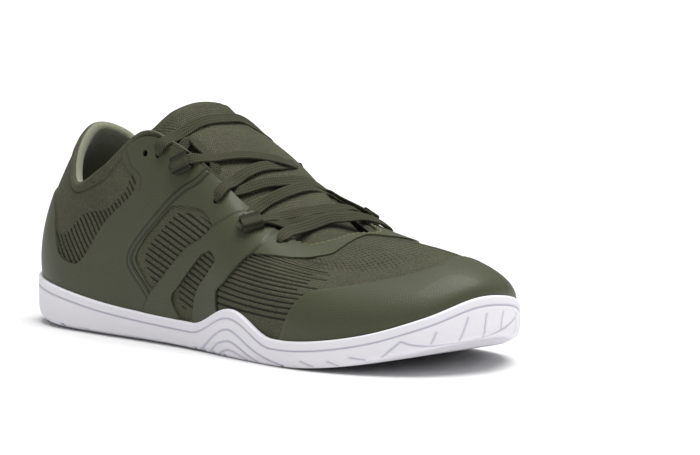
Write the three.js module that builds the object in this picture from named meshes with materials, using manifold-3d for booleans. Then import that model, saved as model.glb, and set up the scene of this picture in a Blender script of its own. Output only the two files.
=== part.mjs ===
// A low-cut barefoot training shoe for the right foot, standing empty on its sole.
// Millimetres. +X runs to the toe, +Y to the inner side of the foot, +Z up.
// The upper is one surface around the foot. A row of the last's table is one section of it:
// a curve that climbs from the feather line, where sole and upper meet, to the opening's edge.

import * as THREE from 'three';
import { mergeVertices } from 'three/addons/utils/BufferGeometryUtils.js';
import Module from 'manifold-3d';

const wasm = await Module();
wasm.setup();

// Driving sizes of the last
const lastLength = 267;
const ballWidth = 95;
const instepHeight = 92;

// Sole
const rimHeight = 12;
const rimWall = 2.2;
const rimBand = 4;
const sideGroove = 0.8;
const soleThickness = 6;
const toeSpring = 13;
const toeSpringStart = 185;
const heelBevel = 3.5;
const heelBevelEnd = 38;
const soleEdgeRound = 5;
const archRecess = 1;
const treadDepth = 1.2;
const treadWidth = 1.5;
const lugSize = 13;
const pivotRadius = 19.5;

// Upper
const upperWall = 1.8;
const collarPad = 5;
const filmThickness = 0.7;
const eyeletRadius = 1.9;

// Tongue, insole, laces and webbing
const tongueThickness = 4;
const insoleThickness = 3;
const insoleCup = 3;
const laceWidth = 5.5;
const laceThickness = 1.6;
const webbingThickness = 1.1;
const webbingWidth = 9;

// Between curved pieces that touch
const fitGap = 0.3;

// The last, a row for each section: toe tip, outer side, heel back, inner side.
// Shares: along, run and edgeAlong of lastLength; across, edgeAcross and flare of ballWidth;
// rim of rimHeight; edgeHeight, rise and drop of instepHeight.
// along, across, rim,  edgeAlong, edgeAcross, edgeHeight,  rise, flare, run, drop
const lastTable = [
  [1.000, 0.063, 2.72, 0.672, 0.021, 0.562, 0.130, 0.032, 0.187, -0.022],
  [0.996, -0.105, 2.72, 0.668, -0.105, 0.542, 0.130, 0.032, 0.172, -0.011],
  [0.955, -0.300, 2.08, 0.645, -0.195, 0.528, 0.141, 0.032, 0.135, 0.033],
  [0.869, -0.442, 1.40, 0.605, -0.242, 0.592, 0.207, 0.032, 0.090, 0.087],
  [0.753, -0.516, 1.00, 0.543, -0.274, 0.707, 0.272, 0.042, 0.052, 0.109],
  [0.625, -0.484, 1.00, 0.472, -0.284, 0.848, 0.283, 0.021, 0.049, 0.174],
  [0.494, -0.421, 1.00, 0.389, -0.300, 0.962, 0.359, 0.000, 0.037, 0.218],
  [0.363, -0.389, 1.07, 0.313, -0.311, 1.000, 0.370, 0.000, 0.030, 0.261],
  [0.232, -0.379, 1.27, 0.217, -0.326, 0.799, 0.217, 0.000, 0.007, 0.196],
  [0.105, -0.342, 1.63, 0.139, -0.295, 0.707, 0.174, 0.011, 0.011, 0.141],
  [0.026, -0.211, 1.83, 0.086, -0.158, 0.864, 0.239, 0.032, 0.030, 0.152],
  [0.000, 0.000, 1.96, 0.064, 0.021, 0.973, 0.261, 0.032, 0.030, 0.174],
  [0.026, 0.200, 1.88, 0.090, 0.179, 0.924, 0.239, 0.032, 0.030, 0.174],
  [0.105, 0.326, 1.67, 0.139, 0.284, 0.761, 0.174, 0.011, 0.011, 0.141],
  [0.232, 0.347, 1.33, 0.225, 0.316, 0.826, 0.217, 0.000, 0.007, 0.196],
  [0.360, 0.326, 1.17, 0.318, 0.316, 0.975, 0.370, -0.021, 0.030, 0.261],
  [0.487, 0.326, 1.17, 0.408, 0.305, 0.900, 0.391, -0.021, 0.037, 0.230],
  [0.614, 0.400, 1.17, 0.487, 0.284, 0.765, 0.304, 0.000, 0.049, 0.174],
  [0.742, 0.484, 1.08, 0.569, 0.263, 0.668, 0.261, 0.032, 0.052, 0.109],
  [0.846, 0.479, 1.29, 0.637, 0.232, 0.595, 0.217, 0.032, 0.082, 0.065],
  [0.921, 0.389, 1.75, 0.677, 0.179, 0.568, 0.152, 0.032, 0.124, 0.043],
  [0.974, 0.232, 2.38, 0.682, 0.100, 0.562, 0.130, 0.032, 0.161, 0.011],
];
const rowCount = lastTable.length;
const lastRows = lastTable.map(
  ([along, across, rim, edgeAlong, edgeAcross, edgeHeight, rise, flare, run, drop]) => [
    along * lastLength,
    across * ballWidth,
    rim * rimHeight,
    edgeAlong * lastLength,
    edgeAcross * ballWidth,
    edgeHeight * instepHeight,
    rise * instepHeight,
    flare * ballWidth,
    run * lastLength,
    drop * instepHeight,
  ],
);

// Smooth periodic curve through the rows: row is a whole or broken row number
function rowAt(row) {
  const start = Math.floor(row);
  const f = row - start;
  const near = [-1, 0, 1, 2].map((k) => lastRows[(start + k + 2 * rowCount) % rowCount]);
  return near[1].map((_, column) => {
    const [a, b, c, d] = near.map((values) => values[column]);
    return 0.5 * (2 * b + (c - a) * f + (2 * a - 5 * b + 4 * c - d) * f ** 2
      + (3 * b - a - 3 * c + d) * f ** 3);
  });
}

// Outward direction of the feather line in plan
function outwardAt(row) {
  const step = 0.02;
  const [x0, y0] = rowAt(row - step);
  const [x1, y1] = rowAt(row + step);
  return new THREE.Vector3(y0 - y1, x1 - x0, 0).normalize();
}

// A point of the upper's outer surface: climb is 0 at the feather line and 1 at the opening's edge
function skinPoint(row, climb) {
  const [x, y, rim, edgeX, edgeY, edgeZ, rise, flare, run, drop] = rowAt(row);
  const foot = new THREE.Vector3(x, y, rim);
  const edge = new THREE.Vector3(edgeX, edgeY, edgeZ);
  const inward = new THREE.Vector3(edgeX - x, edgeY - y, 0).normalize();
  const low = foot.clone().addScaledVector(outwardAt(row), flare);
  low.z += rise;
  const high = edge.clone().addScaledVector(inward, -run);
  high.z -= drop;
  return new THREE.CubicBezierCurve3(foot, low, high, edge).getPoint(climb);
}

function skinNormal(row, climb) {
  const step = 0.01;
  const above = skinPoint(row, Math.min(climb + step, 1));
  const below = skinPoint(row, Math.max(climb - step, 0));
  const ahead = skinPoint(row + step, climb);
  const behind = skinPoint(row - step, climb);
  return ahead.sub(behind).cross(above.sub(below)).normalize().negate();
}

// Stations around the foot, the same on both sides: steps in each row's span from the toe tip
// to the heel, closest where the outer rim rises in a wave
const stepsPerRow = [3, 3, 3, 3, 4, 4, 2, 2, 2, 3, 3];
const stations = [];
for (let row = 0; row < rowCount; row += 1) {
  const steps = stepsPerRow[Math.min(row, rowCount - 1 - row)];
  for (let k = 0; k < steps; k += 1) stations.push(row + k / steps);
}
const climbSteps = 5;
const skin = stations.map((row) => {
  const levels = [];
  for (let level = 0; level <= climbSteps; level += 1) {
    const climb = level / climbSteps;
    levels.push({ climb, point: skinPoint(row, climb), normal: skinNormal(row, climb) });
  }
  return { row, levels, feather: skinPoint(row, 0), outward: outwardAt(row) };
});

// Solids from rings of points

function signedVolume(vertices, triangles) {
  const [a, b, c] = [0, 1, 2].map(() => new THREE.Vector3());
  let volume = 0;
  for (let k = 0; k < triangles.length; k += 3) {
    a.fromArray(vertices, 3 * triangles[k]);
    b.fromArray(vertices, 3 * triangles[k + 1]);
    c.fromArray(vertices, 3 * triangles[k + 2]);
    volume += a.dot(b.cross(c)) / 6;
  }
  return volume;
}

function solidFrom(points, triangles) {
  const vertices = points.flatMap((p) => [p.x, p.y, p.z]);
  if (signedVolume(vertices, triangles) < 0) triangles.reverse();
  return new wasm.Manifold(new wasm.Mesh({
    numProp: 3,
    vertProperties: new Float32Array(vertices),
    triVerts: new Uint32Array(triangles),
  }));
}

function bridge(triangles, ringA, ringB, size) {
  for (let k = 0; k < size; k += 1) {
    const next = (k + 1) % size;
    const [a, b, c, d] = [ringA + k, ringA + next, ringB + next, ringB + k];
    triangles.push(a, b, c, a, c, d);
  }
}

// A closed band: the rings go round a wall and back to the first
function bandSolid(rings) {
  const size = rings[0].length;
  const triangles = [];
  rings.forEach((_, k) => bridge(triangles, k * size, ((k + 1) % rings.length) * size, size));
  return solidFrom(rings.flat(), triangles);
}

// Strips across a ring, from each station to the one opposite, as a sole's floor is ruled
function ruledCap(triangles, base, size, facing) {
  const strip = (...corners) => triangles.push(...(facing ? corners : corners.reverse()));
  strip(base, base + 1, base + size - 1);
  for (let k = 1; k < size / 2 - 1; k += 1) {
    strip(base + k, base + k + 1, base + size - k - 1);
    strip(base + k, base + size - k - 1, base + size - k);
  }
  strip(base + size / 2 - 1, base + size / 2, base + size / 2 + 1);
}

// A lump closed by ruled caps under its first ring and over its last
function cappedSolid(rings) {
  const size = rings[0].length;
  const triangles = [];
  for (let k = 0; k < rings.length - 1; k += 1) bridge(triangles, k * size, (k + 1) * size, size);
  ruledCap(triangles, 0, size, false);
  ruledCap(triangles, (rings.length - 1) * size, size, true);
  return solidFrom(rings.flat(), triangles);
}

// A bar with a rectangular section that follows a list of frames
function barSolid(frames) {
  const triangles = [];
  const corners = [[-1, -1], [1, -1], [1, 1], [-1, 1]];
  const points = frames.flatMap(({ centre, side, up }) => corners.map(
    ([s, u]) => centre.clone().addScaledVector(side, s).addScaledVector(up, u),
  ));
  for (let k = 0; k < frames.length - 1; k += 1) bridge(triangles, 4 * k, 4 * (k + 1), 4);
  const last = 4 * (frames.length - 1);
  triangles.push(0, 2, 1, 0, 3, 2, last, last + 1, last + 2, last, last + 2, last + 3);
  return solidFrom(points, triangles);
}

function solidOf(geometry) {
  const bare = geometry.clone();
  bare.deleteAttribute('normal');
  bare.deleteAttribute('uv');
  const merged = mergeVertices(bare, 1e-4);
  return new wasm.Manifold(new wasm.Mesh({
    numProp: 3,
    vertProperties: new Float32Array(merged.attributes.position.array),
    triVerts: new Uint32Array(merged.index.array),
  }));
}

// An outline in the side view, [along, height], pushed through the shoe from one y to another
function sidePrism(outline, fromY, toY) {
  const shape = new THREE.Shape(outline.map(([x, z]) => new THREE.Vector2(x, z)));
  const geometry = new THREE.ExtrudeGeometry(shape, { depth: toY - fromY, bevelEnabled: false });
  geometry.rotateX(Math.PI / 2);
  geometry.translate(0, toY, 0);
  return solidOf(geometry);
}

function geometryOf(solid) {
  const { vertProperties, triVerts } = solid.getMesh();
  const geometry = new THREE.BufferGeometry();
  geometry.setAttribute('position', new THREE.BufferAttribute(new Float32Array(vertProperties), 3));
  geometry.setIndex(new THREE.BufferAttribute(new Uint32Array(triVerts), 1));
  geometry.computeVertexNormals();
  return geometry;
}

// Sole

const clampedSquare = (value) => Math.max(value, 0) ** 2;
const springRun = lastLength - toeSpringStart;

const underside = (x) => toeSpring * clampedSquare((x - toeSpringStart) / springRun)
  + heelBevel * clampedSquare((heelBevelEnd - x) / heelBevelEnd);
const footBed = (x) => soleThickness + toeSpring * clampedSquare((x - toeSpringStart) / springRun);

// The outer rim rises in a wave at the waist
const wave = { centre: 0.588 * lastLength, half: 0.112 * lastLength, height: 0.775 * rimHeight };

function waveAt({ x, y }) {
  const reach = (x - wave.centre) / wave.half;
  if (y > 0 || Math.abs(reach) >= 1) return 0;
  return Math.cos(reach * Math.PI / 2) ** 2;
}

// The ground outline draws in under the toe and the heel, and its edge lifts behind the ball
const groundOut = 1;
const toeDraw = { from: 0.805 * lastLength, over: 0.195 * lastLength, inset: 10 };
const heelDraw = { over: 0.11 * lastLength, inset: 1 };
const edgeLift = { heel: 1.6, ball: 0.2, from: 0.37 * lastLength, over: 0.22 * lastLength };

function groundOffset({ x }) {
  return groundOut - toeDraw.inset * clampedSquare(Math.min((x - toeDraw.from) / toeDraw.over, 1))
    - heelDraw.inset * clampedSquare((heelDraw.over - x) / heelDraw.over);
}

function liftAt({ x }) {
  const share = THREE.MathUtils.smoothstep(x, edgeLift.from, edgeLift.from + edgeLift.over);
  return THREE.MathUtils.lerp(edgeLift.heel, edgeLift.ball, share);
}

// A ring around the sole: offsetOf gives its distance out from the feather line, heightOf its z
function soleRing(offsetOf, heightOf) {
  return skin.map((station) => {
    const point = station.feather.clone().addScaledVector(station.outward, offsetOf(station));
    point.z = heightOf(station, point);
    return point;
  });
}

const cupGap = fitGap;
const sideOut = cupGap + rimWall;
const rimTop = ({ feather }) => feather.z + wave.height * waveAt(feather);
const sideFoot = ({ feather }) => underside(feather.x) + liftAt(feather) + 2;

function soleSolid() {
  const ground = ({ feather }) => groundOffset(feather);
  const rings = [
    soleRing((s) => ground(s) - soleEdgeRound, (s, p) => underside(p.x)),
    soleRing(ground, (s, p) => underside(p.x) + liftAt(s.feather)),
    soleRing((s) => 0.25 * ground(s) + 0.75 * sideOut, sideFoot),
  ];
  // Two ribs under the wave, cut as grooves that die out beside it
  const bandFoot = (s) => rimTop(s) - rimBand - sideGroove;
  for (const share of [0.3, 0.62]) {
    const middle = (s) => THREE.MathUtils.lerp(sideFoot(s), bandFoot(s), share);
    const depth = (s) => sideGroove * Math.sqrt(waveAt(s.feather));
    rings.push(soleRing(() => sideOut, (s) => middle(s) - sideGroove / 2));
    rings.push(soleRing((s) => sideOut - depth(s), middle));
    rings.push(soleRing(() => sideOut, (s) => middle(s) + sideGroove / 2));
  }
  rings.push(
    soleRing(() => sideOut, bandFoot),
    soleRing(() => sideOut - sideGroove, (s) => bandFoot(s) + sideGroove / 2),
    soleRing(() => sideOut, (s) => rimTop(s) - rimBand),
    soleRing(() => sideOut, (s) => rimTop(s) - 0.35 * rimWall),
    soleRing(() => sideOut - 0.35 * rimWall, rimTop),
    soleRing(() => cupGap, rimTop),
    soleRing(() => cupGap, (s, p) => footBed(p.x)),
  );
  return cappedSolid(rings);
}

// Tread grooves follow the underside. A closed path makes a ring.
function grooveSolid(path, closed = false) {
  const count = path.length;
  const frames = path.map(([x, y], k) => {
    const [x0, y0] = path[closed ? (k + count - 1) % count : Math.max(k - 1, 0)];
    const [x1, y1] = path[closed ? (k + 1) % count : Math.min(k + 1, count - 1)];
    const side = new THREE.Vector3(y0 - y1, x1 - x0, 0).normalize();
    side.multiplyScalar(treadWidth / 2);
    const centre = new THREE.Vector3(x, y, underside(x));
    return { centre, side, up: new THREE.Vector3(0, 0, treadDepth) };
  });
  if (!closed) return barSolid(frames);
  const corners = [[-1, -1], [1, -1], [1, 1], [-1, 1]];
  return bandSolid(corners.map(([s, u]) => frames.map(
    ({ centre, side, up }) => centre.clone().addScaledVector(side, s).addScaledVector(up, u),
  )));
}

function arcPath(centre, radius, fromDegrees, toDegrees, steps) {
  const path = [];
  for (let k = 0; k <= steps; k += 1) {
    const angle = THREE.MathUtils.degToRad(THREE.MathUtils.lerp(fromDegrees, toDegrees, k / steps));
    path.push([centre[0] + radius * Math.cos(angle), centre[1] + radius * Math.sin(angle)]);
  }
  return path;
}

function lugPath([x, y]) {
  const half = lugSize / 2;
  return [[x - half, y - half], [x + half / 3, y], [x - half, y + half]];
}

// Pivot disc under the big toe's ball, and rows of arrow-shaped lugs ahead of it
const pivot = [0.704 * lastLength, 0.24 * ballWidth];
const lugTable = [
  [0.862, 0.34], [0.918, 0.27], [0.862, 0.16], [0.922, 0.10], [0.846, -0.02], [0.905, -0.07],
  [0.690, -0.17], [0.757, -0.17], [0.824, -0.17], [0.880, -0.22],
  [0.662, -0.33], [0.728, -0.33], [0.795, -0.33], [0.850, -0.37],
];

function treadSolids() {
  const grooves = [1, 0.6].map((share) => grooveSolid(
    arcPath(pivot, share * pivotRadius, 0, 340, 17),
    true,
  ));
  for (const [along, across] of lugTable) {
    grooves.push(grooveSolid(lugPath([along * lastLength, across * ballWidth])));
  }
  // Flow lines that bend round the disc and run back along the outer side
  for (const ring of [1.5, 1.95]) {
    grooves.push(grooveSolid(arcPath(pivot, ring * pivotRadius, 150, 265, 7)));
  }
  // Crossing grooves beside the arch
  for (const start of [0.36, 0.43, 0.50]) {
    const [x, run] = [start * lastLength, 0.1 * lastLength];
    grooves.push(grooveSolid([[x, -0.36 * ballWidth], [x + run, -0.02 * ballWidth]]));
    grooves.push(grooveSolid([[x + run, -0.36 * ballWidth], [x, -0.02 * ballWidth]]));
  }
  // Arcs across the heel
  for (const radius of [0.22, 0.34, 0.46, 0.58]) {
    const centre = [0.27 * lastLength, 0];
    grooves.push(grooveSolid(arcPath(centre, radius * ballWidth, 128, 232, 5)));
  }
  // Short slanted grooves in the toe
  for (const [along, across] of [[0.945, -0.2], [0.955, -0.08], [0.96, 0.04], [0.955, 0.16]]) {
    const [x, y] = [along * lastLength, across * ballWidth];
    const [back, front] = [[x - 0.4 * lugSize, y - 0.3 * lugSize], [x + 0.4 * lugSize, y]];
    grooves.push(grooveSolid([back, front]));
  }
  return grooves;
}

// The arch is a shallow recess, open to the inner side
function archSolid() {
  const shape = new THREE.Shape();
  const middle = 0.46 * lastLength;
  shape.absellipse(middle, 0.42 * ballWidth, 0.15 * lastLength, 0.4 * ballWidth, Math.PI, 2 * Math.PI);
  const geometry = new THREE.ExtrudeGeometry(shape, {
    depth: 2 * archRecess,
    bevelEnabled: false,
    curveSegments: 9,
  });
  geometry.translate(0, 0, -archRecess);
  return solidOf(geometry);
}

function outsole() {
  let sole = soleSolid().subtract(archSolid());
  for (const groove of treadSolids()) sole = sole.subtract(groove);
  return sole;
}

// Upper

// The wall thickens into a pad around the heel's collar
const padRows = { from: 7, full: 8.5 };

function wallAt(row, climb) {
  const fromFront = Math.min(row, rowCount - row);
  const around = THREE.MathUtils.smoothstep(fromFront, padRows.from, padRows.full);
  const up = THREE.MathUtils.smoothstep(climb, 0.45, 0.9);
  return THREE.MathUtils.lerp(upperWall, Math.max(collarPad, upperWall), around * up);
}

const offsetRing = (level, offsetOf) => skin.map(({ row, levels }) => {
  const { climb, point, normal } = levels[level];
  return point.clone().addScaledVector(normal, offsetOf(row, climb));
});

// The lower margin stands upright inside the sole's cup, down to the foot bed
const marginRing = (offset) => soleRing(() => offset, (s, p) => footBed(p.x) + fitGap);

function rolledEdge() {
  return skin.map(({ row, levels }) => {
    const { climb, point, normal } = levels[climbSteps];
    const wall = wallAt(row, climb);
    const upward = point.clone().sub(levels[climbSteps - 1].point).normalize();
    return point.clone().addScaledVector(normal, -wall / 2).addScaledVector(upward, 0.3 * wall);
  });
}

function upperShell() {
  const levels = [...Array(climbSteps + 1).keys()];
  return bandSolid([
    marginRing(0),
    ...levels.map((level) => offsetRing(level, () => 0)),
    rolledEdge(),
    ...levels.reverse().map((level) => offsetRing(level, (row, climb) => -wallAt(row, climb))),
    marginRing(-upperWall),
  ]);
}

// A wall between two larger forms of the upper: overlays are cut from it
function overlayWall() {
  const levels = [...Array(climbSteps + 1).keys()];
  return bandSolid([
    ...levels.map((level) => offsetRing(level, () => fitGap)),
    ...levels.reverse().map((level) => offsetRing(level, () => fitGap + filmThickness)),
  ]);
}

// What the sole's rim needs for itself, with the fitting gap above it
function rimSpace() {
  const reach = 3 * rimWall;
  const top = (s) => rimTop(s) + 2 * fitGap;
  const bottom = ({ feather }) => feather.z - rimBand;
  return bandSolid([
    soleRing(() => -reach, bottom),
    soleRing(() => reach, bottom),
    soleRing(() => reach, top),
    soleRing(() => -reach, top),
  ]);
}

// Eyelets: row and climb on the outer side; the inner side mirrors the row
const eyeletTable = [
  { row: 3.52, climb: 0.71 },
  { row: 5.08, climb: 0.75 },
  { row: 6.58, climb: 0.86 },
  { row: 6.92, climb: 0.86 },
];

function eyeletPunches() {
  const punches = [];
  for (const { row, climb } of eyeletTable) {
    for (const sideRow of [row, rowCount - row]) {
      const length = 4 * (upperWall + filmThickness);
      const punch = new THREE.CylinderGeometry(eyeletRadius, eyeletRadius, length, 6);
      const turn = new THREE.Quaternion();
      turn.setFromUnitVectors(new THREE.Vector3(0, 1, 0), skinNormal(sideRow, climb));
      punch.applyQuaternion(turn);
      punch.translate(...skinPoint(sideRow, climb).toArray());
      punches.push(solidOf(punch));
    }
  }
  return punches;
}

const punchThrough = (solid) => eyeletPunches().reduce((rest, punch) => rest.subtract(punch), solid);

// Outlines of the overlays in the side view: shares of lastLength and of instepHeight
const inSideView = (outline) => outline.map(([x, z]) => [x * lastLength, z * instepHeight]);

// The quarter film runs from the forward strap back around the heel, and round the throat
const quarterFront = inSideView([
  [-0.1, -0.1], [0.528, -0.1], [0.528, 0.152], [0.546, 0.289], [0.568, 0.386], [0.611, 0.511],
  [0.652, 0.508], [0.693, 0.491], [0.72, 0.515], [0.745, 0.58], [0.745, 1.4], [-0.1, 1.4],
]);
const fabricQuarter = inSideView([
  [-0.1, 0.63], [0.035, 0.589], [0.123, 0.373], [0.164, 0.337], [0.250, 0.55], [0.330, 0.754],
  [0.337, 0.80], [0.281, 0.888], [0.294, 0.965], [0.30, 1.4], [-0.1, 1.4],
]);
const rearWindow = inSideView([
  [0.404, 0.672], [0.484, 0.676], [0.518, 0.616], [0.461, 0.512], [0.416, 0.388], [0.389, 0.314],
  [0.367, 0.254], [0.321, 0.354], [0.318, 0.426], [0.345, 0.516],
]);
const strapWindow = inSideView([
  [0.525, 0.461], [0.504, 0.452], [0.453, 0.367], [0.419, 0.252], [0.400, 0.145], [0.400, -0.1],
  [0.479, -0.1], [0.479, 0.140], [0.491, 0.278], [0.522, 0.387], [0.536, 0.449],
]);
const toeTop = inSideView([
  [0.69, -0.1], [0.715, 0.17], [0.731, 0.260], [0.751, 0.334], [0.768, 0.370], [0.834, 0.399],
  [0.879, 0.426], [0.927, 0.452], [0.936, 0.478], [0.926, 0.505], [0.92, 0.56], [1.2, 0.56],
  [1.2, -0.1],
]);

function quarterFilm() {
  const wide = ballWidth;
  let film = overlayWall().intersect(sidePrism(quarterFront, -wide, wide));
  for (const hole of [fabricQuarter, rearWindow, strapWindow]) {
    film = film.subtract(sidePrism(hole, -wide, wide));
  }
  return punchThrough(film.subtract(rimSpace()));
}

function toeGuard() {
  return overlayWall().intersect(sidePrism(toeTop, -ballWidth, ballWidth)).subtract(rimSpace());
}

// Insole, inside the upper's lower margin, with its edge turned up around the heel
function insole() {
  const inset = -(upperWall + fitGap);
  const seat = (x) => footBed(x) + fitGap;
  const [cupFull, cupEnd] = [0.2 * lastLength, 0.45 * lastLength];
  const cup = ({ feather }) => insoleCup
    * (1 - THREE.MathUtils.smoothstep(feather.x, cupFull, cupEnd));
  return cappedSolid([
    soleRing(() => inset, (s, p) => seat(p.x)),
    soleRing(() => inset, (s, p) => seat(p.x) + insoleThickness + cup(s)),
    soleRing(() => inset - insoleThickness / 2, (s, p) => seat(p.x) + insoleThickness + cup(s)),
    soleRing(() => inset - 4 * insoleThickness, (s, p) => seat(p.x) + insoleThickness),
  ]);
}

// Tongue: a padded strip that arches over the instep. Shares: along and half of lastLength and
// ballWidth, height and drop of instepHeight; drop is how far its edges hang below its middle.
// along, height, half, drop
const tongueTable = [
  [0.742, 0.437, 0.18, 0.033],
  [0.700, 0.480, 0.21, 0.049],
  [0.670, 0.516, 0.23, 0.060],
  [0.637, 0.572, 0.24, 0.071],
  [0.577, 0.688, 0.262, 0.082],
  [0.517, 0.812, 0.280, 0.090],
  [0.468, 0.902, 0.287, 0.098],
  [0.423, 0.972, 0.287, 0.104],
  [0.378, 1.043, 0.280, 0.109],
  [0.337, 1.128, 0.245, 0.100],
];

// The inner half is a little narrower, because the opening's inner edge lies lower there
const tongueInner = 0.9;

const tongueRows = tongueTable.map(([along, height, half, drop]) => ({
  middle: new THREE.Vector3(along * lastLength, 0, height * instepHeight),
  half: half * ballWidth,
  drop: drop * instepHeight,
}));

// A point of the tongue's outer face: row counts from the toe end, share runs from -1 at the
// outer edge to 1 at the inner
function tonguePoint(row, share) {
  const start = Math.min(Math.floor(row), tongueRows.length - 2);
  const [a, b] = [tongueRows[start], tongueRows[start + 1]];
  const f = row - start;
  const ahead = tongueRows[Math.max(Math.round(row) - 1, 0)].middle;
  const behind = tongueRows[Math.min(Math.round(row) + 1, tongueRows.length - 1)].middle;
  const up = new THREE.Vector3(behind.z - ahead.z, 0, ahead.x - behind.x).normalize();
  const point = a.middle.clone().lerp(b.middle, f);
  point.addScaledVector(up, -THREE.MathUtils.lerp(a.drop, b.drop, f) * share ** 2);
  point.y = THREE.MathUtils.lerp(a.half, b.half, f) * share * (share > 0 ? tongueInner : 1);
  return { point, up };
}

function tongue() {
  const across = 8;
  const rings = tongueRows.map((_, row) => {
    const [outer, inner] = [[], []];
    for (let step = 0; step <= across; step += 1) {
      const share = 2 * step / across - 1;
      const { point, up } = tonguePoint(row, share);
      const thickness = tongueThickness * (1 - 0.6 * share ** 4);
      outer.push(point);
      inner.unshift(point.clone().addScaledVector(up, -thickness));
    }
    return [...outer, ...inner];
  });
  const size = rings[0].length;
  const triangles = [];
  for (let k = 0; k < rings.length - 1; k += 1) bridge(triangles, k * size, (k + 1) * size, size);
  const closeEnd = (base, facing) => {
    for (let k = 0; k < across; k += 1) {
      const quad = [base + k, base + k + 1, base + size - k - 2, base + size - k - 1];
      const [a, b, c, d] = facing ? quad : quad.reverse();
      triangles.push(a, b, c, a, c, d);
    }
  };
  closeEnd(0, false);
  closeEnd((rings.length - 1) * size, true);
  return solidFrom(rings.flat(), triangles);
}

// Laces: flat strands from the outer side over the tongue to the inner side. Each stop is
// chosen by hand, on the skin by row and climb or on the tongue by row and share. A lift, a
// share of the lace's thickness, is how far it stands off there.
const onSkin = (row, climb, lift = 0) => ({ on: 'skin', row, climb, lift });
const onTongue = (row, share, lift = 0) => ({ on: 'tongue', row, share, lift });
const innerRow = (row) => rowCount - row;

const laceRoutes = {
  bottom: [
    onSkin(3.42, 0.78, 0.19), onSkin(3.1, 0.96, 0.8), onTongue(3.0, -0.5, 1.9),
    onTongue(2.65, 0.1, 2.4), onTongue(2.45, 0.55, 3.4), onSkin(innerRow(2.65), 0.96, 2.2),
    onSkin(innerRow(2.75), 0.86, 0.6),
  ],
  loopForward: [
    onSkin(3.7, 0.975, 0.81), onTongue(3.62, -0.4, 0.87), onTongue(3.4, 0.3, 0.62),
    onSkin(innerRow(3.4), 0.98, 0.62), onSkin(innerRow(3.5), 0.92, 0.37),
  ],
  loopBack: [
    onSkin(4.1, 0.98, 0.62), onTongue(4.2, -0.45, 0.62), onTongue(4.1, 0.08, 0.37),
    onTongue(4.4, 0.5, 0.62), onSkin(innerRow(4.5), 0.98, 0.62), onSkin(innerRow(4.6), 0.92, 0.37),
  ],
  middleForward: [
    onSkin(4.36, 0.98, 0.62), onTongue(4.5, -0.45, 0.62), onTongue(4.1, 0, 0.37),
    onTongue(3.7, 0.5, 0.75), onSkin(innerRow(3.45), 0.98, 0.62), onSkin(innerRow(3.5), 0.92, 0.37),
  ],
  middleBack: [
    onSkin(5.0, 0.82, 0.19), onSkin(4.9, 0.97, 1), onTongue(5.3, -0.5, 0.75),
    onTongue(5.8, 0, 0.37), onTongue(6.3, 0.5, 1), onSkin(innerRow(5.55), 0.97, 1.1),
    onSkin(innerRow(5.6), 0.9, 0.37),
  ],
  loopTop: [
    onSkin(5.72, 0.95, 0.87), onSkin(5.6, 0.99, 1.31), onTongue(6.0, -0.5, 0.94),
    onTongue(5.85, 0, 0.37), onTongue(5.3, 0.5, 0.75), onSkin(innerRow(4.55), 0.98, 0.62),
    onSkin(innerRow(4.6), 0.92, 0.37),
  ],
  top: [
    onSkin(6.5, 0.9, 0.5), onSkin(6.25, 0.98, 1.38), onTongue(7.9, -0.62, 1.31),
    onTongue(7.85, 0, 0.37), onTongue(7.8, 0.62, 1), onSkin(innerRow(6), 0.98, 1),
    onSkin(innerRow(6.15), 0.92, 0.62),
  ],
};

const strandSeat = fitGap + laceThickness / 2;
const filmTop = 2 * fitGap + filmThickness;

function laceStop({ on, row, climb, share, lift }) {
  if (on === 'tongue') {
    const { point, up } = tonguePoint(row, share);
    return { centre: point.addScaledVector(up, strandSeat + lift * laceThickness), out: up };
  }
  const out = skinNormal(row, climb);
  const seat = filmTop + strandSeat + lift * laceThickness;
  return { centre: skinPoint(row, climb).addScaledVector(out, seat), out };
}

function laceSolid(route) {
  const stops = route.map(laceStop);
  const curve = new THREE.CatmullRomCurve3(stops.map(({ centre }) => centre));
  const perStop = 2;
  const steps = perStop * (stops.length - 1);
  const frames = [];
  for (let k = 0; k <= steps; k += 1) {
    const centre = curve.getPoint(k / steps);
    const along = curve.getTangent(k / steps);
    const [before, after] = [Math.floor(k / perStop), Math.ceil(k / perStop)];
    const out = stops[before].out.clone().lerp(stops[after].out, (k % perStop) / perStop);
    const side = along.clone().cross(out).normalize();
    const up = side.clone().cross(along).normalize();
    side.multiplyScalar(laceWidth / 2);
    up.multiplyScalar(laceThickness / 2);
    frames.push({ centre, side, up });
  }
  return barSolid(frames);
}

const laceCrossings = ['loopForward', 'loopBack', 'middleForward', 'middleBack', 'loopTop'];

// Webbing loops: a flat fold of webbing on the film. A strand turns back through it, so its slot
// runs along the throat.
const loopTable = [
  { name: 'rear', row: 6.05, climb: 0.84 },
  { name: 'front', row: 4.08, climb: 0.785 },
];

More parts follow.
